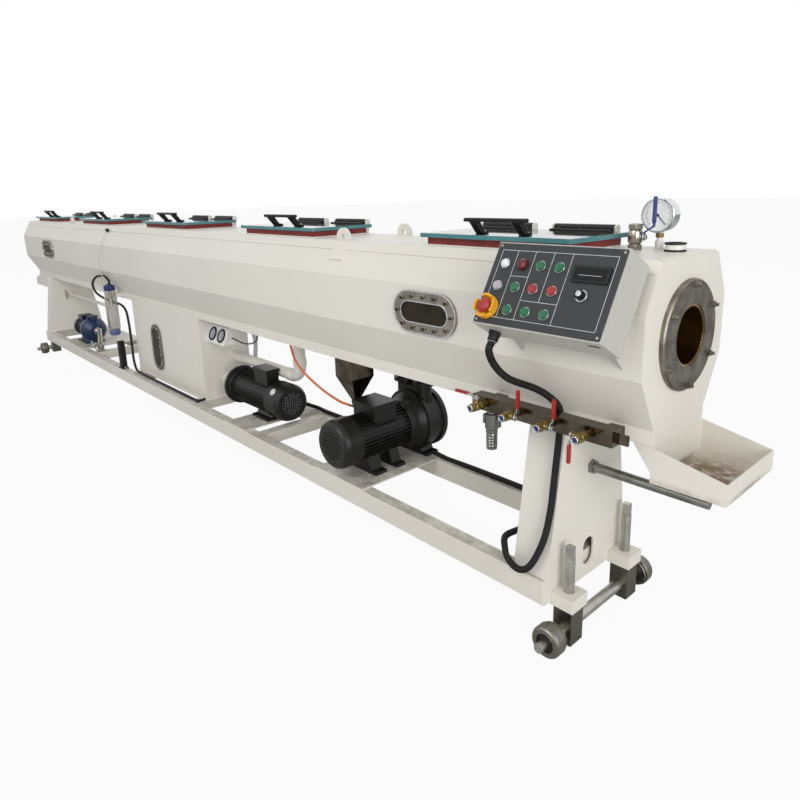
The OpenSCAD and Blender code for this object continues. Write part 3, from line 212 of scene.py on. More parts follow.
def enamel(name, base, other, scuffs=0.0):
    """Sprayed two-part enamel on steel sheet: slightly uneven, with a faint orange peel."""
    material, tree, shader = finish(name, base, 0.0, 0.38)
    spot = mottled(tree, shader, base, other, 700)
    # Orange peel is about 2 mm; drawn at 9 mm so that it shows.
    grained(tree, shader, spot, 9, 0.12, 2.0)
    if scuffs:
        # Boot and tool marks on faces that look up, in smears of about 60 mm
        worn = ramp(tree, patches(tree, spot, 60, 8, 0.7), 0.4, 0.68, 0, scuffs)
        normal = add(tree, "ShaderNodeNewGeometry").outputs["Normal"]
        top = maths(tree, "GREATER_THAN", axes(tree, normal)["Z"], 0.8)
        overlay(tree, shader, maths(tree, "MULTIPLY", worn, top), "#7D756A")
    return material


def metal(name, base, other, roughness, grain_mm, depth_mm, stretch=(1, 1, 1), patch_mm=60):
    """A bare or plated metal: its tone wanders a little and its relief follows how it was worked."""
    material, tree, shader = finish(name, base, 1.0, roughness)
    spot = mottled(tree, shader, base, other, patch_mm, 0.8)
    grains = grained(tree, shader, spot, grain_mm, depth_mm, 1.0, stretch)
    worked = ramp(tree, grains, 0, 1, max(roughness - 0.08, 0.03), roughness + 0.1)
    tree.links.new(worked, shader.inputs["Roughness"])
    return material


def moulded(name, base, other, roughness, grain_mm=1.5, depth_mm=0.03, patch_mm=40, **sockets):
    """Moulded or dipped plastic, rubber or gloss paint on a casting: one tone with a fine skin."""
    material, tree, shader = finish(name, base, 0.0, roughness, **sockets)
    spot = mottled(tree, shader, base, other, patch_mm, 0.6)
    grained(tree, shader, spot, grain_mm, depth_mm, 0.8)
    return material


PAINT = enamel("off_white_enamel", "#E4E0D6", "#DAD6CB")
SCUFFED = enamel("scuffed_off_white_enamel", "#E2DED4", "#D4CFC3", 0.75)
DESK_PAINT = enamel("pale_grey_enamel", "#BEBDB6", "#B3B2AB")
# Turned and ground mild steel, a little oily: grey with a brown cast
STEEL = metal("ground_mild_steel", "#ABA79F", "#8F897F", 0.34, 3, 0.02)
# The wheels' turned steel, dark with use
WHEEL_STEEL = metal("worn_wheel_steel", "#88867E", "#66635B", 0.36, 3, 0.03)
# Faced flange of mild steel, stained by water: grey-brown clouds of about 45 mm
DISC_STEEL = metal("faced_stained_steel", "#8E8980", "#5E5950", 0.42, 2, 0.03, patch_mm=45)
# Electroplated zinc on small fasteners: bright and bluish
ZINC = metal("zinc_plated_steel", "#C9CCCC", "#AEB2B2", 0.28, 2, 0.02)
# Folded stainless sheet, brushed lengthways: long fine lines
STAINLESS = metal("brushed_stainless", "#AAA59B", "#8C867B", 0.24, 1.2, 0.01, (0.04, 1, 1))
CHROME = metal("chromed_steel", "#DADCDC", "#CFD2D3", 0.1, 8, 0.003)
# Galvanised tube: spangle of about 10 mm
GALVANISED = metal("galvanised_tube", "#8F908B", "#666761", 0.34, 10, 0.02)
# Turned brass, dull with handling
BRASS = metal("turned_brass", "#A9955F", "#7F6C3C", 0.26, 1.5, 0.015)
WET_BRASS = metal("turned_brass_sleeve", "#BFA371", "#947A4C", 0.22, 1.2, 0.01)
# Black gloss paint on ribbed castings
BLACK_PAINT = moulded("black_casting_paint", "#121212", "#1B1B19", 0.36, 3, 0.1, Specular_IOR_Level=0.35)
BLACK_STRAP = moulded("black_powder_coat", "#101010", "#181818", 0.5, Specular_IOR_Level=0.3)
# Glass-filled nylon of handles and knobs
NYLON = moulded("black_nylon", "#101010", "#181818", 0.46, 1.2, 0.05, Specular_IOR_Level=0.3)
RUBBER = moulded("dark_red_rubber", "#7E241E", "#5E1817", 0.62, 2, 0.06)
CONDUIT = moulded("black_ribbed_plastic", "#0F0E0D", "#171514", 0.5, Specular_IOR_Level=0.25)
CABLE = moulded("dark_red_cable_sheath", "#4A181B", "#341013", 0.45)
HOSE_RUBBER = moulded("black_hose_rubber", "#0F0E0D", "#171615", 0.55, Specular_IOR_Level=0.3)
ORANGE = moulded("orange_hose_rubber", "#E27B55", "#D2683F", 0.45)
MILKY = moulded("milky_soft_tube", "#D9DADA", "#C8CACB", 0.35, Transmission_Weight=0.25)
PVC = moulded("white_pipe_plastic", "#E3E0D8", "#D8D4CA", 0.4)
WHITE_PLASTIC = moulded("white_moulded_plastic", "#E6E5E0", "#DCDBD5", 0.42)
RED_VINYL = moulded("red_dipped_vinyl", "#A01D1E", "#861617", 0.38)
BLUE_VINYL = moulded("blue_dipped_vinyl", "#22397E", "#1B2C66", 0.38)
BLUE_CAP = moulded("dark_blue_cap_plastic", "#1F2B66", "#182253", 0.4)
PALE_BLUE = moulded("pale_blue_clear_plastic", "#6C7BA8", "#5C6C9B", 0.3, Transmission_Weight=0.4)
PANEL = moulded("dark_grey_panel_film", "#303334", "#2A2D2E", 0.42, 0.8, 0.01, 120, Specular_IOR_Level=0.35)
WHITE_PRINT = moulded("white_panel_print", "#D7D9DA", "#CFD1D2", 0.5)
BLACK_GLASS = moulded("black_display_window", "#08090B", "#0D0E11", 0.2, Specular_IOR_Level=0.25)
YELLOW = moulded("yellow_guard_plastic", "#E8A81E", "#DB9A12", 0.4)
RED_HEAD = moulded("red_head_plastic", "#A52526", "#931D1F", 0.36)
GREEN_LENS = moulded("green_button_lens", "#1F6B45", "#195B3A", 0.3)
RED_LENS = moulded("red_button_lens", "#A32B30", "#8E2227", 0.3)
DARK_RED_LENS = moulded("dark_red_lamp_lens", "#5E1216", "#4C0D11", 0.2)
GREY_LENS = moulded("grey_button_lens", "#B2B5B7", "#A5A8AB", 0.35)
WHITE_LENS = moulded("white_lamp_lens", "#E4E6E6", "#D8DADA", 0.25)
SOCKET_BLUE = moulded("grey_blue_socket_plastic", "#A3A4AE", "#8E909D", 0.4)
DIAL = moulded("white_dial_enamel", "#EEF0EF", "#E6E9E8", 0.5)
INK = moulded("dark_blue_dial_ink", "#20243A", "#282C44", 0.5)
# Float glass: clear on its faces, deep green-blue where its ground edge gathers the light
GLASS = moulded("float_glass", "#CFE6E2", "#C4DED9", 0.03, 120, 0.004, 200, Transmission_Weight=1.0, IOR=1.5)
EDGE_GLASS = moulded("ground_glass_edge", "#4F868A", "#3E7278", 0.22, 4, 0.02, 90)
# Sight glass: thick glass over a wet inside, drawn opaque; its dark colour is painted shade of the inside behind
# the glass
SIGHT_GLASS_PAINTED_SHADE = moulded("sight_glass_painted_inner_shade", "#2B2721", "#3B342B", 0.16, 60, 0.01, 70, Specular_IOR_Level=0.08)
CLEAR_BOWL = moulded(
    "clear_filter_plastic", "#F1EFEB", "#E6E3DE", 0.05, 30, 0.01, 60, Transmission_Weight=0.95, IOR=1.3
)
# Polished stainless box section: its dark brown base colour is a painted reflection, standing in for the dark
# reflections in its sides
POLISHED_WITH_PAINTED_REFLECTIONS = metal("polished_stainless_painted_reflections", "#6B6357", "#4A4338", 0.16, 1.2, 0.008, (0.05, 1, 1))
STRAINER = moulded("grey_strainer_plastic", "#8F8A84", "#7C7771", 0.6, 4, 0.3)
BLUE_PAINT = moulded("blue_casting_enamel", "#122A50", "#0E2040", 0.34, 4, 0.1, 60)
AXLE_STEEL = metal("oiled_axle_steel", "#BDBCB6", "#A09E96", 0.34, 2.5, 0.03)


def second_tone(material, colour, **places):
    """Another colour where each named axis is within reach of a middle, in millimetres of the machine."""
    tree = material.node_tree
    spot = axes(tree, coordinates(tree))
    mask = 1.0
    for axis, (middle, reach) in places.items():
        k = "xyz".index(axis)
        near = maths(tree, "COMPARE", spot[k], point(middle, middle, middle)[k], reach * MM)
        mask = maths(tree, "MULTIPLY", mask, near)
    overlay(tree, tree.nodes["Principled BSDF"], mask, colour)


# The blue pump's motor is painted nearly black.
second_tone(BLUE_PAINT, "#15171D", x=(-1992, 130))
# The coupling under the manifold is cast aluminium.
second_tone(POLISHED_WITH_PAINTED_REFLECTIONS, "#7E7E7A", z=(600, 106.5), y=(-227, 60))
# The axle and its screws are bright; the two blocks that hold the axle are dark with oil.
for side in (-165, 165):
    second_tone(AXLE_STEEL, "#6B695F", y=(side, 32.8), z=(60, 60.5))
# Behind the holes of the fan covers the fans show: a pale one on the water pump's motor, and a grey one on the
# vacuum pump's.
second_tone(BLACK_PAINT, "#A3A4A6", x=(993, 3.6), y=(0, 58), z=(318, 58))
second_tone(BLACK_PAINT, "#55554F", y=(-253, 3.6), x=(1700, 62), z=(363, 62))


def rusty_tray():
    """Enamel with a rust-brown puddle mark on the tray's floor, about 150 mm across."""
    material = enamel("stained_off_white_enamel", "#E3DFD5", "#D8D3C7")
    tree = material.node_tree
    spot = coordinates(tree)
    centre = point(3085, -15, 601)
    away = add(tree, "ShaderNodeVectorMath", {0: spot, 1: centre}, operation="DISTANCE")
    inside = ramp(tree, away.outputs["Value"], 0.06, 0.19, 1, 0)
    ragged = ramp(tree, patches(tree, spot, 45, 7, 0.75), 0.33, 0.55)
    # The mark stays on the floor and fades out in the foot of the walls.
    wet = ramp(tree, axes(tree, spot)["Z"], centre.z + 0.004, centre.z + 0.016, 1, 0)
    mask = maths(tree, "MULTIPLY", maths(tree, "MULTIPLY", inside, ragged), wet)
    overlay(tree, tree.nodes["Principled BSDF"], mask, "#70502A")
    return material


STAINED = rusty_tray()

# The frame's own solids keep their shape and take these finishes.
SOLIDS = {
    PAINT: "tank_bottom lower_front_plate lower_back_plate front_wall back_wall upper_front_plate "
    "upper_back_plate tank_top entry_end exit_end tank_rails near_leg far_leg water_box",
    SCUFFED: "front_rail rear_rail cross_members machine_plates",
    STAINED: "drip_tray",
    DESK_PAINT: "control_desk",
    RUBBER: "lid_seals",
    STAINLESS: "window_frames",
    POLISHED_WITH_PAINTED_REFLECTIONS: "water_manifold separator",
    SIGHT_GLASS_PAINTED_SHADE: "window_glass",
    AXLE_STEEL: "near_axle far_axle",
    WHEEL_STEEL: "wheel_near_front wheel_near_back wheel_far_front wheel_far_back",
    DISC_STEEL: "entry_disc",
    BRASS: "manifold_valves",
    WET_BRASS: "brass_sleeve",
    GALVANISED: "drain_rod",
    BLACK_PAINT: "water_pump vacuum_pump",
    BLUE_PAINT: "blue_pump",
    PVC: "pipework",
}
for material, names in SOLIDS.items():
    for name in names.split():
        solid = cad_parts[name]
        solid.data.materials.clear()
        solid.data.materials.append(material)


def arc(radius, degrees):
    """Points of a circle at some angles."""
    turns = [math.radians(a) for a in degrees]
    return [(radius * math.cos(a), radius * math.sin(a)) for a in turns]


class Shape:
    """A piece put together from turned, extruded and swept forms, in millimetres of the machine."""

    def __init__(self):
        self.mesh = bmesh.new()
        self.finishes = []

    def face(self, corners, material):
        corners = list(dict.fromkeys(corners))
        if len(corners) < 3:
            return
        face = self.mesh.faces.new(corners)
        if material not in self.finishes:
            self.finishes.append(material)
        face.material_index = self.finishes.index(material)
        face.smooth = True

    def ring(self, points, at):
        return [self.mesh.verts.new(at @ Vector(p)) for p in points]

    def turned(self, profile, at, material, steps=32, closed=False):
        """A profile of (radius, height) turned about the frame's Z axis."""
        rings = []
        for r, z in profile:
            turns = [2 * math.pi * k / steps for k in range(steps if r > 1e-6 else 1)]
            rings.append(self.ring([(r * math.cos(a), r * math.sin(a), z) for a in turns], at))
        for a, b in zip(rings, rings[1:] + (rings[:1] if closed else [])):
            for k in range(steps):
                n = k + 1
                self.face([a[k % len(a)], a[n % len(a)], b[n % len(b)], b[k % len(b)]], material)

    def plate(self, outline, depth, at, material, edge=None):
        """A flat outline drawn out along the frame's Z axis."""
        bottom = self.ring([(x, y, 0) for x, y in outline], at)
        top = self.ring([(x, y, depth) for x, y in outline], at)
        self.face(bottom[::-1], material)
        self.face(top, material)
        for k in range(len(outline)):
            n = (k + 1) % len(outline)
            self.face([bottom[k], bottom[n], top[n], top[k]], edge or material)

    def block(self, size, at, material):
        """A block centred on the frame."""
        a, b, c = size
        flat = [(-a / 2, -b / 2), (a / 2, -b / 2), (a / 2, b / 2), (-a / 2, b / 2)]
        self.plate(flat, c, at @ Matrix.Translation((0, 0, -c / 2)), material)

    def band(self, outer, inner, depth, at, material):
        """A flat ring between two outlines of as many points, drawn out along the frame's Z axis."""
        lines = ((outer, 0), (outer, depth), (inner, depth), (inner, 0))
        loops = [self.ring([(x, y, z) for x, y in line], at) for line, z in lines]
        for a, b in zip(loops, loops[1:] + loops[:1]):
            for k in range(len(a)):
                n = (k + 1) % len(a)
                self.face([a[k], a[n], b[n], b[k]], material)

    def hexagon(self, across, depth, at, material):
        self.plate(arc(across / math.sqrt(3), range(0, 360, 60)), depth, at, material)

    def swept(self, path, radius, material, sides=12):
        """A round tube along points; radius is a number or one number for each point."""
        path = [Vector(p) for p in path]
        rings, side = [], None
        for k, p in enumerate(path):
            along = (path[min(k + 1, len(path) - 1)] - path[max(k - 1, 0)]).normalized()
            if side is None:
                side = along.orthogonal().normalized()
            side = (side - along * side.dot(along)).normalized()
            other = along.cross(side)
            r = radius if isinstance(radius, (int, float)) else radius[k]
            turns = [2 * math.pi * n / sides for n in range(sides)]
            rings.append([self.mesh.verts.new(p + r * (math.cos(a) * side + math.sin(a) * other)) for a in turns])
        for a, b in zip(rings, rings[1:]):
            for k in range(sides):
                n = (k + 1) % sides
                self.face([a[k], a[n], b[n], b[k]], material)
        self.face(rings[0][::-1], material)
        self.face(rings[-1], material)

    def done(self, name, body, slot, replaces=(), edge_mm=0.0, sharp=35):
        """The finished piece, riding on its body."""
        bmesh.ops.recalc_face_normals(self.mesh, faces=self.mesh.faces)
        data = bpy.data.meshes.new(name)
        self.mesh.to_mesh(data)
        self.mesh.free()
        for material in self.finishes:
            data.materials.append(material)
        data.transform(Matrix.Translation(TANK) @ Matrix.Scale(MM, 4))
        data.set_sharp_from_angle(angle=math.radians(sharp))
        piece = bpy.data.objects.new(name, data)
        bpy.context.scene.collection.objects.link(piece)
        if edge_mm:
            bevel = piece.modifiers.new("rounded_edges", "BEVEL")
            bevel.width = edge_mm * MM
            bevel.segments = 2
            bevel.limit_method = "ANGLE"
            bevel.angle_limit = math.radians(40)
        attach(piece, body)
        if replaces:
            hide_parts(*replaces)
        return piece


def curve(points, steps):
    """Points of a smooth curve through the given ones, as the hoses of the frame run."""
    p = [Vector(q) for q in points]
    out = []
    for i in range(len(p) - 1):
        a, b, c, d = p[max(i - 1, 0)], p[i], p[i + 1], p[min(i + 2, len(p) - 1)]
        for k in range(steps):
            t = k / steps
            out.append(
                0.5 * (2 * b + (c - a) * t + (2 * a - 5 * b + 4 * c - d) * t * t + (3 * b - a - 3 * c + d) * t**3)
            )
    return out + [p[-1]]


def evenly(points, step):
    """The same line with a point every step millimetres."""
    out, carry = [points[0]], 0.0
    for a, b in zip(points, points[1:]):
        gap = (b - a).length
        while carry + gap >= step:
            t = (step - carry) / gap
            a = a + (b - a) * t
            out.append(a)
            gap = (b - a).length
            carry = 0.0
        carry += gap
    return out + [points[-1]]


def rounded(w, h, r, n=6):
    """Outline of a rectangle with round corners, about its middle."""
    out = []
    for cx, cy, start in ((1, 1, 0), (-1, 1, 90), (-1, -1, 180), (1, -1, 270)):
        corner = arc(r, [start + 90 * k / n for k in range(n + 1)])
        out += [(cx * (w / 2 - r) + x, cy * (h / 2 - r) + y) for x, y in corner]
    return out


def stadium(w, h, n=12):
    return rounded(w, h, min(w, h) / 2 - 0.01, n)


def around(w, h, count):
    """Places spaced evenly along the outline of a stadium."""
    line = [Vector((x, y, 0)) for x, y in stadium(w, h, 16)]
    line.append(line[0])
    length = sum((b - a).length for a, b in zip(line, line[1:]))
    return evenly(line, length / count)[:count]


def make_lids():
    """Glass lids: a ground-edged pane, a leaning black handle and two black hinges."""
    grip_long, leg_wide = 240, 24
    leg = [(-29, 49), (-8, 49), (23, 8), (42, 6), (42, 0), (4, 0), (-29, 38)]
    hinge_long, leaf_z = 220, LID_TOP + 5
    end = hinge_long / 2
    leaf = [(124, LID_TOP), (160, LID_TOP), (160, leaf_z), (126, leaf_z), (124, LID_TOP + 3.5)]
    barrel = [(4.05, -end), (11, -end), (12, 1 - end), (12, end - 1), (11, end), (4.05, end)]
    for i, x in enumerate(LID_X, 1):
        body = f"lid_{i}"
        pane = Shape()
        pane.plate(rounded(590, 318, 8), LID_TOP - LID_BOTTOM, place(x, -13, LID_BOTTOM), GLASS, EDGE_GLASS)
        pane.done(f"{body}_pane", body, "glass", [body], edge_mm=1.2)
        grip = Shape()
        at = place(x, -117, LID_TOP)
        grip.plate(rounded(22, 12, 4), grip_long, at @ place(-grip_long / 2, -18, 44, 90, 0, 90), NYLON)
        for s in (-85, 85):
            grip.plate(leg, leg_wide, at @ place(s - leg_wide / 2, 0, 0, 90, 0, 90), NYLON)
            grip.turned([(0, 9), (4, 9), (5.5, 6), (5.5, 5)], at @ place(s, 33, 0), ZINC, 16)
        grip.done(f"{body}_handle", body, "black_metal", edge_mm=2.2)
        hinge = Shape()
        for s in (-185, 125):
            at = place(x + s, 0, 0)
            hinge.plate(leaf, hinge_long, at @ place(-end, 0, 0, 90, 0, 90), BLACK_STRAP)
            hinge.turned(barrel, at @ place(0, HINGE_Y, HINGE_Z, ry=90), BLACK_STRAP, closed=True)
            for k in (-80, 0, 80):
                hinge.turned([(0, 4), (4, 3.6), (6, 1), (6, 0)], at @ place(k, 134, leaf_z), NYLON, 16)
        hinge.done(f"{body}_hinges", body, "black_metal", edge_mm=0.8)


make_lids()

# Control desk: its sloping front is measured with u from the left edge, v from the top edge and w outwards.
FRONT_U, FRONT_V = 388, 238
DESK = place(2790, -342.5, 1121.94, rx=60)
FILM = 3  # thickness of the panel
GLAND_U, GLAND_W = 42, -55


def desk(u, v, w=0.0):
    return DESK @ place(u - FRONT_U / 2, FRONT_V / 2 - v, w)


def make_panel():
    board = Shape()
    board.plate(rounded(380, 230, 5), FILM, desk(FRONT_U / 2, FRONT_V / 2), PANEL)
    board.done("panel_plate", "machine", "panel", ["control_panel"], edge_mm=0.6)
    left, right, top, foot, middle = 22, 366, 24, 214, 160
    frame_lines = [(left, v, right, v) for v in (top, foot)] + [(u, top, u, foot) for u in (left, right)]
    columns = [(74, top, 74, foot), (131, top, 131, foot), (188, top, 188, middle), (243, top, 243, foot)]
    rows = [(74, 96, 131, 96), (131, middle, 243, middle)]
    lines = Shape()
    for u0, v0, u1, v1 in frame_lines + columns + rows:
        size = (max(u1 - u0, 1.3), max(v1 - v0, 1.3), 0.5)
        lines.block(size, desk((u0 + u1) / 2, (v0 + v1) / 2, FILM), WHITE_PRINT)
    lines.done("panel_lines", "machine", "panel")


def make_buttons():
    lens = {"w": WHITE_LENS, "d": DARK_RED_LENS, "g": GREEN_LENS, "r": RED_LENS, "s": GREY_LENS}
    collar = [(12, 0), (14.5, 0), (14.5, 2.5), (13.8, 4), (12.6, 4), (12, 3)]
    domed = [(0, 13), (4.4, 12.6), (8.8, 11), (11.4, 8), (12, 4), (12, 0)]
    flat = [(0, 9.2), (6.6, 9.4), (10.4, 9.8), (11.6, 9), (12, 7.5), (12, 0)]
    # The dark red lamp is a wider dome, down over its ring.
    wide = [(1.35 * r, z) for r, z in domed[:-1]] + [(16.2, 2), (14.6, 2)]
    caps_by_kind = {"w": domed, "d": wide}
    rings, caps = Shape(), Shape()
    for j, kinds in enumerate(("wdgg", "sgrr", " ggg")):
        for i, kind in enumerate(kinds):
            if kind == " ":
                continue
            at = desk(46 + 57 * i, 63.5 + 63.5 * j, FILM)
            rings.turned(collar, at, CHROME, closed=True)
            caps.turned(caps_by_kind.get(kind, flat), at, lens[kind])
    rings.done("button_rings", "machine", "chrome")
    caps.done("button_caps", "machine", "panel")


def make_stop():
    stop = Shape()
    at = desk(36, 190.5, FILM)
    stop.plate(stadium(68, 60), 3, at, YELLOW)
    stop.turned([(30, 0), (30, 7), (28, 9.5), (23.5, 9.5), (22.5, 5), (0, 5)], at, YELLOW, 40)
    span = range(-30, 34, 4)
    for k in range(4):
        stop.plate(arc(33, span) + arc(26, span[::-1]), 21, at @ place(0, 0, 0, rz=90 * k), YELLOW)
    head = [(0, 25.6), (8, 25.4), (15, 24), (19, 20.5), (20, 17), (19.4, 14.5), (12, 13.5), (11, 5)]
    stop.turned(head, at, RED_HEAD, 40)
    stop.done("emergency_stop", "machine", "red", edge_mm=0.8)


def make_display_and_knob():
    screen = Shape()
    at = desk(309, 75, FILM)
    screen.plate(rounded(100, 44, 3), 5, at, NYLON)
    screen.plate(rounded(88, 32, 1.5), 0.6, at @ place(0, 0, 5), BLACK_GLASS)
    screen.block((64, 1, 0.4), at @ place(0, -4, 5.8), WHITE_PRINT)
    screen.done("speed_display", "machine", "panel", edge_mm=0.8)
    knob = Shape()
    at = desk(301, 130, FILM)
    knob.turned([(16, 0), (16, 2), (15, 3), (0, 3)], at, ZINC, 36)
    grip = [(0, 17), (7, 17), (7.6, 16.4), (9.4, 16.4), (11, 15), (11.6, 3.2), (11.6, 3)]
    knob.turned(grip, at, NYLON, 36)
    knob.turned([(0, 17.6), (6.4, 17.6), (7, 17)], at, CHROME)
    for k in range(18):
        knob.block((1.6, 1.4, 11), at @ place(0, 0, 0, rz=20 * k) @ place(11.6, 0, 9), NYLON)
    knob.block((1.2, 8, 0.6), at @ place(0, 0, 0, rz=35) @ place(0, 6, 17.6), WHITE_PRINT)
    knob.done("speed_knob", "machine", "black_metal", edge_mm=0.3)


def make_desk_fittings():
    screws = Shape()
    for u in (12, FRONT_U - 12):
        for v in (12, FRONT_V - 12):
            screws.turned([(0, 1.6), (2, 1.5), (3.6, 0.5), (3.6, 0)], desk(u, v, FILM), STEEL, 16)
    screws.done("panel_screws", "machine", "chrome")
    gland = Shape()
    at = desk(GLAND_U, FRONT_V, GLAND_W) @ place(0, 0, 0, rx=90)
    gland.hexagon(31, 12.5, at, NYLON)
    dome = [(13.6, 12), (14.8, 13), (14.8, 24), (13, 29), (11.2, 30.5), (11.2, 12)]
    gland.turned(dome, at, NYLON, 28, True)
    gland.done("desk_gland", "machine", "black_plastic", edge_mm=0.6)
    slot = Shape()
    slot.block((30, 10, 0.6), desk(356, FRONT_V + 0.2, -30) @ place(0, 0, 0, rx=90), NYLON)
    slot.done("desk_slot", "machine", "grey_box")


make_panel()
make_buttons()
make_stop()
make_display_and_knob()
make_desk_fittings()


# Gauge, vent valve and port on the tank top
def make_gauge():
    x, y, z = 2857, 104, SHEET_Z + 95
    dial_z, tick_r = 42, 37
    case = Shape()
    at = place(x, y + 23.5, z, rx=90)
    back = [(0, 0), (42, 0), (45.4, 2), (46, 4), (46, 37)]
    bezel = [(49, 37), (49, 45), (47.4, 47), (44, 47), (43, 43), (42.6, dial_z)]
    case.turned(back + bezel, at, CHROME, 64)
    case.done("gauge_case", "machine", "chrome", ["vacuum_gauge"])
    dial = Shape()
    dial.turned([(42.8, 41.4), (42.8, dial_z), (0, dial_z)], at, DIAL, 64)
    for k in range(51):
        a = math.radians(225 - 270 * k / 50)
        long = 7 if k % 10 == 0 else 5 if k % 5 == 0 else 3
        r = tick_r - long / 2
        tick = at @ place(r * math.cos(a), r * math.sin(a), dial_z + 0.1, rz=math.degrees(a))
        dial.block((long, 0.9 if long > 3 else 0.5, 0.3), tick, INK)
    needle = at @ place(0, 0, 43.2, rz=-48)
    dial.plate([(-12, -1.8), (30, -0.9), (36, 0), (30, 0.9), (-12, 1.8)], 0.6, needle, INK)
    dial.turned([(0, 2.4), (3, 2.2), (4, 1), (4, 0)], at @ place(0, 0, 42.6), INK, 20)
    dial.done("gauge_dial", "machine", "chrome")
    post = Shape()
    post.turned([(0, 54), (8, 54), (8, 24), (12, 23), (12, 0), (0, 0)], place(x, y, SHEET_Z), WHITE_PLASTIC, 24)
    post.hexagon(22, 12, place(x, y, SHEET_Z + 33), BRASS)
    post.done("gauge_post", "machine", "white_plastic", edge_mm=0.5)


def make_vent():
    valve = Shape()
    at = place(VENT_X, VENT_Y, SHEET_Z)
    valve.turned([(15, 0), (15, 16), (16, 17), (20, 23), (20, 51), (16, 57), (15, 58), (15, 60)], at, STAINLESS, 36)
    for z in (1, 58):
        valve.hexagon(38, 14, at @ place(0, 0, z), STAINLESS)
    valve.turned([(0, 66), (12, 66), (12, 73), (16, 73), (17.5, 71)], at, STAINLESS)
    stem = place(VENT_X, VENT_Y, VENT_STEM, ry=90)
    valve.turned([(9, 14), (9, 20.6), (8, 21), (5, 21), (5, 33), (4, 34), (0, 34)], stem, STAINLESS, 24)
    valve.hexagon(12, 4, stem @ place(0, 0, 29.6), ZINC)
    valve.done("vent_valve", "machine", "stainless", ["top_fittings"], edge_mm=0.8)
    port = Shape()
    at = place(2924, 62, SHEET_Z)
    port.turned([(29, 0), (29, 4.5), (26.4, 5.5)], at, NYLON, 48)
    port.turned([(26.4, 5), (26.4, 19)], at, WHITE_PLASTIC, 48)
    port.turned([(26.4, 18.5), (29, 19.5), (29, 23), (28, 24), (21, 24), (20, 23)], at, NYLON, 48)
    port.turned([(20, 23.4), (20, 8), (0, 8)], at, NYLON, 48)
    port.done("round_port", "machine", "white_plastic")


make_gauge()
make_vent()


def lever_arm(name, body, at, length, sleeve, slot, up=8, run=8):
    """A cranked steel lever with a dipped sleeve; it lies along -X of its frame, its stem along Z."""
    thick, wide, crank = 3, 12, -14
    bend, tip = crank - run, 20 - length
    ease = thick * math.tan(math.atan2(up, run) / 2)
    under = [(8, 0), (crank, 0), (bend, up), (tip, up)]
    over = [(tip, up + thick), (bend + ease, up + thick), (crank + ease, thick), (8, thick)]
    arm = Shape()
    arm.plate(under + over, wide, at @ place(0, wide / 2, 25.4, rx=90), sleeve if up > run else ZINC)
    arm.turned([(5.2, 0), (10, 0), (10, 3.4), (5.2, 3.4)], at @ place(0, 0, 25.2), ZINC, 24, True)
    sleeved = length + bend - 6
    arm.plate(rounded(sleeved, 14, 6.5), 6.4, at @ place(-length + sleeved / 2, 0, 23.6 + up), sleeve)
    arm.done(name, body, slot, [body], edge_mm=0.9)


def make_levers():
    for i, (x, turn) in enumerate(zip(VALVE_X, TURNS), 1):
        lever_arm(f"water_lever_{i}", f"lever_{i}", place(x, STEM_Y, STEM_Z, ry=turn), 85, RED_VINYL, "red")
    stem = place(VENT_X, VENT_Y, VENT_STEM, ry=90)
    lever_arm("vent_lever", "top_lever", stem, 112, BLUE_VINYL, "blue_grip", 27, 18)


def make_valve_caps():
    caps = Shape()
    for x, turn in zip(VALVE_X, TURNS):
        mouth = place(x, -313.5, STEM_Z, rx=90)
        caps.turned([(10.4, -3), (10.4, 1), (9.6, 2), (8.6, 2), (8, 0.6)], mouth, CHROME, 28)
        caps.turned([(8.4, 0.4), (6, 1), (0, 1.2)], mouth, BLUE_CAP, 28)
        caps.hexagon(11, 4.6, place(x, STEM_Y, STEM_Z, ry=turn) @ place(0, 0, 29.4), ZINC)
    caps.done("valve_caps", "machine", "blue_grip", edge_mm=0.4)


make_levers()
make_valve_caps()


# Sight windows, level glass, twin socket, filter and the small fittings under the tank
def make_sights():
    bolts = Shape()
    for x in (-2235, 2235):
        at = place(x, -239, AXIS_Z, rx=90)
        for p in around(252, 105, 12):
            bolts.turned([(0, 1.2), (7.5, 1.2), (8, 0.6), (8, 0)], at @ place(p.x, p.y, 0), STEEL, 20)
            bolts.hexagon(11, 7, at @ place(p.x, p.y, 1), POLISHED_WITH_PAINTED_REFLECTIONS)
        bolts.band(stadium(222, 75), stadium(214.5, 67.5), 2, at @ place(0, 0, -0.5), CHROME)
        bolts.band(stadium(290, 143), stadium(282, 135), 1.5, at @ place(0, 0, -0.5), CHROME)
    bolts.done("window_bolts", "machine", "stainless", edge_mm=0.4)
    wide, tall, rim = 150, 300, 26
    pane = stadium(wide - 2 * rim, tall - 2 * rim)
    level = Shape()
    at = place(-328, -148, 431, rx=90)
    level.band(stadium(wide, tall), pane, 10, at, DISC_STEEL)
    level.plate(pane, 6, at, SIGHT_GLASS_PAINTED_SHADE)
    for p in around(wide - rim, tall - rim, 12):
        level.hexagon(10, 6, at @ place(p.x, p.y, 10), ZINC)
    level.done("level_window", "machine", "stainless", ["level_glass"], edge_mm=0.4)


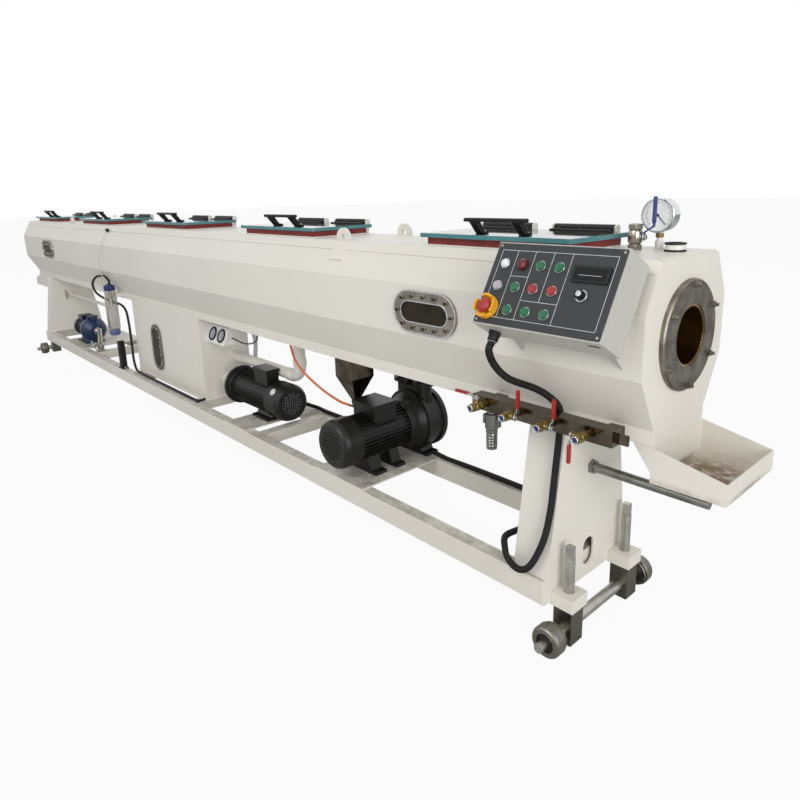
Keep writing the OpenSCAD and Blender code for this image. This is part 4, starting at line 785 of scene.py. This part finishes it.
def make_socket():
    left, wide, back, front, top = 310, 215, -14, -74, 660
    face, lean = 103, 23
    drop, out = face * math.cos(math.radians(lean)), face * math.sin(math.radians(lean))
    box = Shape()
    side = [(back, top), (front, top), (front - out, top - drop), (back, top - drop)]
    box.plate(side, wide, place(left, 0, 0, 90, 0, 90), WHITE_PLASTIC)
    for k in (0.27, 0.73):
        at = place(left + wide * k, front - out / 2, top - drop / 2, rx=90 - lean)
        box.turned([(40, -1), (40, 5), (36, 7), (31, 7), (30, 2.4)], at, NYLON, 40)
        box.turned([(30.5, 2), (24, 2.8), (22, 1.6), (0, 1.6)], at, SOCKET_BLUE, 40)
        for turn in (90, 210, 330):
            hole = at @ place(0, 0, 0, rz=turn)
            box.turned([(0, 2.4), (3, 2.4), (3, 1)], hole @ place(12, 0, 0), NYLON, 12)
    box.done("twin_socket", "machine", "white_plastic", ["socket_box"], edge_mm=1.5)


def make_filter():
    unit = Shape()
    at = place(-880, -224, 445)
    unit.turned([(0, 0), (26, 0), (34, 5), (36, 9), (36, 36), (34, 38), (0, 38)], at, PALE_BLUE, 36)
    outside = [(33, 37), (39, 43), (40, 48), (40, 258), (38, 264), (34.5, 271), (34.5, 313)]
    inside = [(r - 3, z) for r, z in outside[::-1]]
    unit.turned(outside + inside, at, CLEAR_BOWL, 40, True)
    unit.turned([(0, 212), (9, 213), (13, 220), (13, 286), (8, 292), (8, 314), (0, 314)], at, STRAINER, 28)
    for k in range(12):
        rib = at @ place(0, 0, 0, rz=30 * k)
        unit.block((2, 4, 26), rib @ place(35, 0, 328), BLUE_CAP)
    cap = [(0, 312), (34, 312), (35.4, 314), (35.4, 342), (31, 347), (18, 347), (18, 355), (0, 355)]
    unit.turned(cap, at, BLUE_CAP, 36)
    unit.block((30, 44, 28), place(-880, -171, 720), PAINT)
    unit.done("water_filter_unit", "machine", "clear_plastic", ["water_filter"], edge_mm=0.6)


def make_post():
    post = Shape()
    at = place(-835, -212, DECK_Z)
    post.plate(rounded(74, 46, 4), 6, at, BLACK_STRAP)
    post.band(rounded(40, 40, 4), rounded(33, 33, 2), 186, at @ place(0, 0, 5), BLACK_STRAP)
    for s in (-29, 29):
        post.hexagon(12, 6, at @ place(s, 0, 6), ZINC)
    post.done("rail_post", "machine", "black_metal", edge_mm=0.6)


def make_inlet():
    """The blue pump's inlet pipe, down to a tap on the deck."""
    tap = Shape()
    tap.hexagon(54, 22, place(-1734.5, -90, 330, ry=90), ZINC)
    line = [(-1716, -90, 330), (-1690, -91, 328), (-1640, -106, 304), (-1560, -132, 262), (-1516, -146, 246)]
    tap.swept(curve(line, 8), 18, STAINLESS, 24)
    at = place(-1505, -150, DECK_Z)
    body = [(0, 0), (30, 0), (30, 8), (24, 12), (25, 30), (24, 50), (14, 56), (14, 62), (0, 62)]
    tap.turned(body, at, STAINLESS)
    hub = at @ place(0, -20, 52, rx=90)
    tap.turned([(9, 0), (9, 34), (6, 36), (0, 36)], hub, ZINC, 20)
    for turn in (28, -28):
        tap.plate(rounded(118, 18, 8), 8, hub @ place(0, 0, 24, rz=turn), ZINC)
    tap.done("inlet_pipe_and_valve", "machine", "stainless", edge_mm=0.8)


def make_drain():
    """The white drain pipe: along the tank, round a bend and up to its underside."""
    y, z, bend_x, bend_r = -24, 540, -1540, 40
    turns = [math.pi / 24 * k for k in range(13)]
    bend = [(bend_x + bend_r * math.sin(a), y, z + bend_r - bend_r * math.cos(a)) for a in turns]
    drain = Shape()
    drain.swept([(-2610, y, z)] + bend + [(bend_x + bend_r, y, BASE_Z)], 12, PVC, 20)
    drain.turned([(12, 0), (18, 0), (22, 12), (22, 40), (18, 52), (12, 52)], place(-2596, y, z, ry=90), PVC, 28)
    hub = place(-2570, y - 16, z, rx=90)
    drain.turned([(7, 0), (7, 30), (0, 31)], hub, PVC, 20)
    for turn in (20, 110):
        drain.plate(rounded(84, 15, 7), 7, hub @ place(0, 0, 22, rz=turn), STAINLESS)
    drain.done("drain_pipe", "machine", "white_plastic", edge_mm=0.6)


def make_sense_fitting():
    """The thin tube's fitting, square to the tank's upper slope."""
    z = 1155
    low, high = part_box("upper_front_plate")
    rise, run = high.z - low.z, high.y - low.y
    share = (point(0, 0, z).z - low.z) / rise
    y = (low.y + share * run - TANK.y) / MM
    at = place(-872, y, z, rx=math.degrees(math.atan2(rise, run)))
    seat = Shape()
    seat.hexagon(24, 12, at, NYLON)
    seat.turned([(10, 10), (10, 20), (8, 24), (4, 25), (0, 25)], at, NYLON, 24)
    seat.block((34, 14, 12), at @ place(8, 0, 17), NYLON)
    seat.turned([(3.4, 24), (4.6, 24), (4.6, 29), (3.4, 29)], at, WHITE_PLASTIC, 16, True)
    seat.done("sense_fitting", "machine", "black_plastic", edge_mm=0.8)


def make_elbow():
    elbow = Shape()
    x, y, z = FILTER_END
    elbow.hexagon(19, 14, place(x - 28, y, z, ry=90), NYLON)
    elbow.turned([(0, 0), (9, 0), (10, 1), (10, 14), (9, 16), (0, 16)], place(x - 14, y, z, ry=90), NYLON, 24)
    stub = place(x - 6, y + BOX_GAP - 1, z, rx=90)
    elbow.turned([(7.5, 0), (7.5, 34), (0, 34)], stub, NYLON, 20)
    elbow.hexagon(16, 9, stub, NYLON)
    elbow.done("filter_hose_elbow", "machine", "black_plastic", edge_mm=0.6)


def make_motor_disc():
    """The round plate on the shoulder of the water pump's motor."""
    motor_r, motor_z = 97.5, 318
    at = place(935, -motor_r * 0.731, motor_z + motor_r * 0.682, rx=47)
    disc = Shape()
    disc.turned([(0, 1.6), (18.5, 1.6), (19.5, 0.8), (19.5, -2)], at, ZINC, 36)
    disc.turned([(13, 1.5), (14, 2.2), (15, 1.5)], at, ZINC, 36)
    disc.done("motor_disc", "machine", "steel")


def make_bearings():
    wheel_x, wheel_y, wheel_z, bore = 2776, 280, 50, 17
    inner = [(bore, 0), (bore, 2.6), (19, 3), (20, 2)]
    outer = [(23, 2), (24, 3), (26.4, 3), (27.4, 2), (27.4, 0)]
    for end, sx in (("near", 1), ("far", -1)):
        for side, sy in (("front", -1), ("back", 1)):
            ring = Shape()
            ring.turned(inner + outer, place(sx * wheel_x, sy * wheel_y, wheel_z, rx=-90 * sy), NYLON, 40, True)
            ring.done(f"bearing_{end}_{side}", f"wheel_{end}_{side}", "steel")


def make_exit_tray():
    """The tray under the exit end, from the far leg to past the tank."""
    x0, x1, z0 = -2736, -3140, 598
    sheet, inside = 3, 301
    tray = Shape()
    side = [(x1, z0), (x0, z0), (x0, RAIL_Z), (-3000, RAIL_Z), (x1, z0 + 60)]
    for y in (-150, 153):
        tray.plate(side, sheet, place(0, y, 0, rx=90), PAINT)
    tray.block((x0 - x1 - 1, inside, sheet), place((x0 + x1) / 2, 0, z0 + sheet / 2), PAINT)
    tray.block((sheet, inside, 56), place(x1 + sheet / 2, 0, z0 + 31), PAINT)
    tray.block((sheet, inside, 96), place(x0 - sheet / 2, 0, z0 + 51), PAINT)
    tray.done("exit_drip_tray", "machine", "paint")


make_sights()
make_socket()
make_filter()
make_post()
make_inlet()
make_drain()
make_sense_fitting()
make_elbow()
make_motor_disc()
make_bearings()
make_exit_tray()

# Conduits and hoses run along the same points as the frame's own solids.
GLAND_END = desk(GLAND_U, 268.3, GLAND_W).translation
CONDUIT_LINE = [
    GLAND_END, desk(GLAND_U, 294, GLAND_W).translation, (GLAND_END.x - 4, -352, 895), (GLAND_END.x + 14, -312, 852),
    (2700, -250, 818), (2727, -212, 785), (2734, -180, 743), (2732, -177, 675), (2730, -192, 540),
    (2730, -208, 435), (2720, -226, 340), (2690, -247, 255), (2650, -252, 227), (2605, -246, 240),
    (2580, -232, 265), (2550, -190, 275), (2540, -100, 260), (2535, 60, 240), (2490, 170, 225.3),
    (2390, 205, 223.3), (2130.8, 210, 223.3), (1990.4, 206, 224.3), (1909.4, 192, 231.3), (1850, 184, 243.3),
]
MOTOR_LINE = [
    (1578, 194, 249.3), (1530, 202, 231.3), (1470, 206, 224.3), (1300, 207, 223.3), (1100, 206, 223.3),
    (1000, 204, 224.3), (930, 196, 232.3), (880, 172, 243.3), (850, 138, 261.3), (842, 112, 285.3),
]
FILTER_LINE = [
    (-871, -224, 800.3), (-871, -224, 826), (-942, -230, 850), (-1080, -238, 834), (-1180, -238, 778),
    (-1158, -230, 716), (-1070, -202, 676), (-960, -174, 658), (-850, -168, 650), (-762, -174, 624),
    (-722, -180, 570), (-708, -182, 490), (-708, -182, 370), (-700, -185, 290), (-640, -194, 232),
    (-540, -195, 221.7), (-300, -194, 220.3), (-20, -194, 220.3), FILTER_END,
]
ORANGE_LINE = [
    (1050, -20, 741.7), (1050, -20, 682), (1058, -20, 630), (1082, -20, 577), (1134, -20, 534),
    (1215, -20, 496), (1320, -16, 458), (1420, -4, 428), (1462, 0, 425), (1494.7, 0, 425),
]
RETURN_LINE = [
    (465, 102, 418.3), (465, 102, 452), (467, 110, 528), (469, 104, 584), (469, 84, 642), (469, 72, 692),
    (469, 72, 741.7),
]
SENSE_LINE = [
    (-872, -192, 1155), (-876, -214, 1120), (-884, -245, 1040), (-890, -260, 940), (-892, -262, 870),
    (-890, -234, 828), (-890, -234, 800.3),
]
# The socket's cable is only a cord: it hangs from the box to the tank's front rail.
SOCKET_LINE = [
    (525.3, -60, 603), (551, -60, 603), (620, -64, 597), (705, -72, 602), (795, -88, 622), (870, -104, 650),
    (897, -112, 674), (897, -112, 697.7),
]


def hose(name, line, radius, material, slot, replaces=(), rib=0.0, step=12.0, stiff="medium"):
    """A hose along a line with a point every step, each second one in a groove if it is ribbed."""
    points = evenly(curve(line, 24), step)
    thick = [radius - (rib if k % 2 else 0) for k in range(len(points))]
    tube = Shape()
    tube.swept(points, thick, material, 14)
    piece = tube.done(name, "machine", slot, replaces, sharp=25 if rib else 80)


# How the two conduits are ribbed: the depth of a groove and half the pitch, in millimetres
RIBS = {"rib": 1.4, "step": 3.5, "stiff": "stiff"}
hose("desk_conduit", CONDUIT_LINE, 11, CONDUIT, "black_plastic", ["hoses"], **RIBS)
hose("motor_conduit", MOTOR_LINE, 11, CONDUIT, "black_plastic", **RIBS)
hose("filter_hose", FILTER_LINE, 8, HOSE_RUBBER, "black_plastic")
hose("orange_drain_hose", ORANGE_LINE, 6, ORANGE, "orange", ["orange_hose"])
hose("return_tube", RETURN_LINE, 12, MILKY, "clear_tube", ["clear_tubes"])
hose("sense_tube", SENSE_LINE, 3, MILKY, "clear_tube")
hose("socket_cable", SOCKET_LINE, 4, CABLE, "black_plastic")

# Stage: a plain pale floor and soft studio light
FLOOR_HALF = 60
LIGHTS = (
    ("key_light", (1.5, -7.0, 6.0), (0, 0, 0.7), 5.0, 230),
    ("fill_light", (8.5, -3.0, 2.4), (1.5, 0, 0.6), 4.0, 275),
    ("top_light", (-1.0, 3.0, 7.0), (-0.5, 0, 1.0), 6.0, 112),
)


def make_world():
    """White where it is seen, mirrored or looked through, and softer where it lights the machine."""
    world = bpy.data.worlds.new("studio")
    bpy.context.scene.world = world
    world.use_nodes = True
    tree = world.node_tree
    ray = add(tree, "ShaderNodeLightPath").outputs
    seen = maths(tree, "MAXIMUM", ray["Is Camera Ray"], ray["Is Glossy Ray"])
    seen = maths(tree, "MAXIMUM", seen, ray["Is Transmission Ray"])
    soft = add(tree, "ShaderNodeBackground", Color=linear("#F4F6FA"), Strength=0.46)
    white = add(tree, "ShaderNodeBackground", Color=linear("#FFFFFF"), Strength=1.0)
    both = add(tree, "ShaderNodeMixShader", {0: seen, 1: soft.outputs[0], 2: white.outputs[0]})
    tree.links.new(both.outputs[0], tree.nodes["World Output"].inputs["Surface"])


def make_floor():
    """A floor that glows for the camera, so that it nearly melts into the background."""
    material, tree, shader = finish("pale_floor", "#D6D6D4", 0.0, 0.9)
    ray = add(tree, "ShaderNodeLightPath").outputs
    glow = add(tree, "ShaderNodeEmission", Color=linear("#FFFFFF"), Strength=1.0)
    share = maths(tree, "MULTIPLY", ray["Is Camera Ray"], 0.93)
    mixed = add(tree, "ShaderNodeMixShader", {0: share, 1: shader.outputs[0], 2: glow.outputs[0]})
    tree.links.new(mixed.outputs[0], tree.nodes["Material Output"].inputs["Surface"])
    h = FLOOR_HALF
    data = bpy.data.meshes.new("floor")
    data.from_pydata([(-h, -h, 0), (h, -h, 0), (h, h, 0), (-h, h, 0)], [], [(0, 1, 2, 3)])
    data.materials.append(material)
    floor = bpy.data.objects.new("floor", data)
    bpy.context.scene.collection.objects.link(floor)


def make_lights():
    for name, spot, aim, size, power in LIGHTS:
        lamp = bpy.data.lights.new(name, "AREA")
        lamp.size = size
        lamp.energy = power
        light = bpy.data.objects.new(name, lamp)
        light.location = spot
        light.rotation_euler = (Vector(aim) - Vector(spot)).to_track_quat("-Z", "Y").to_euler()
        bpy.context.scene.collection.objects.link(light)


make_world()
make_floor()
make_lights()
bpy.context.scene.view_settings.view_transform = "Standard"
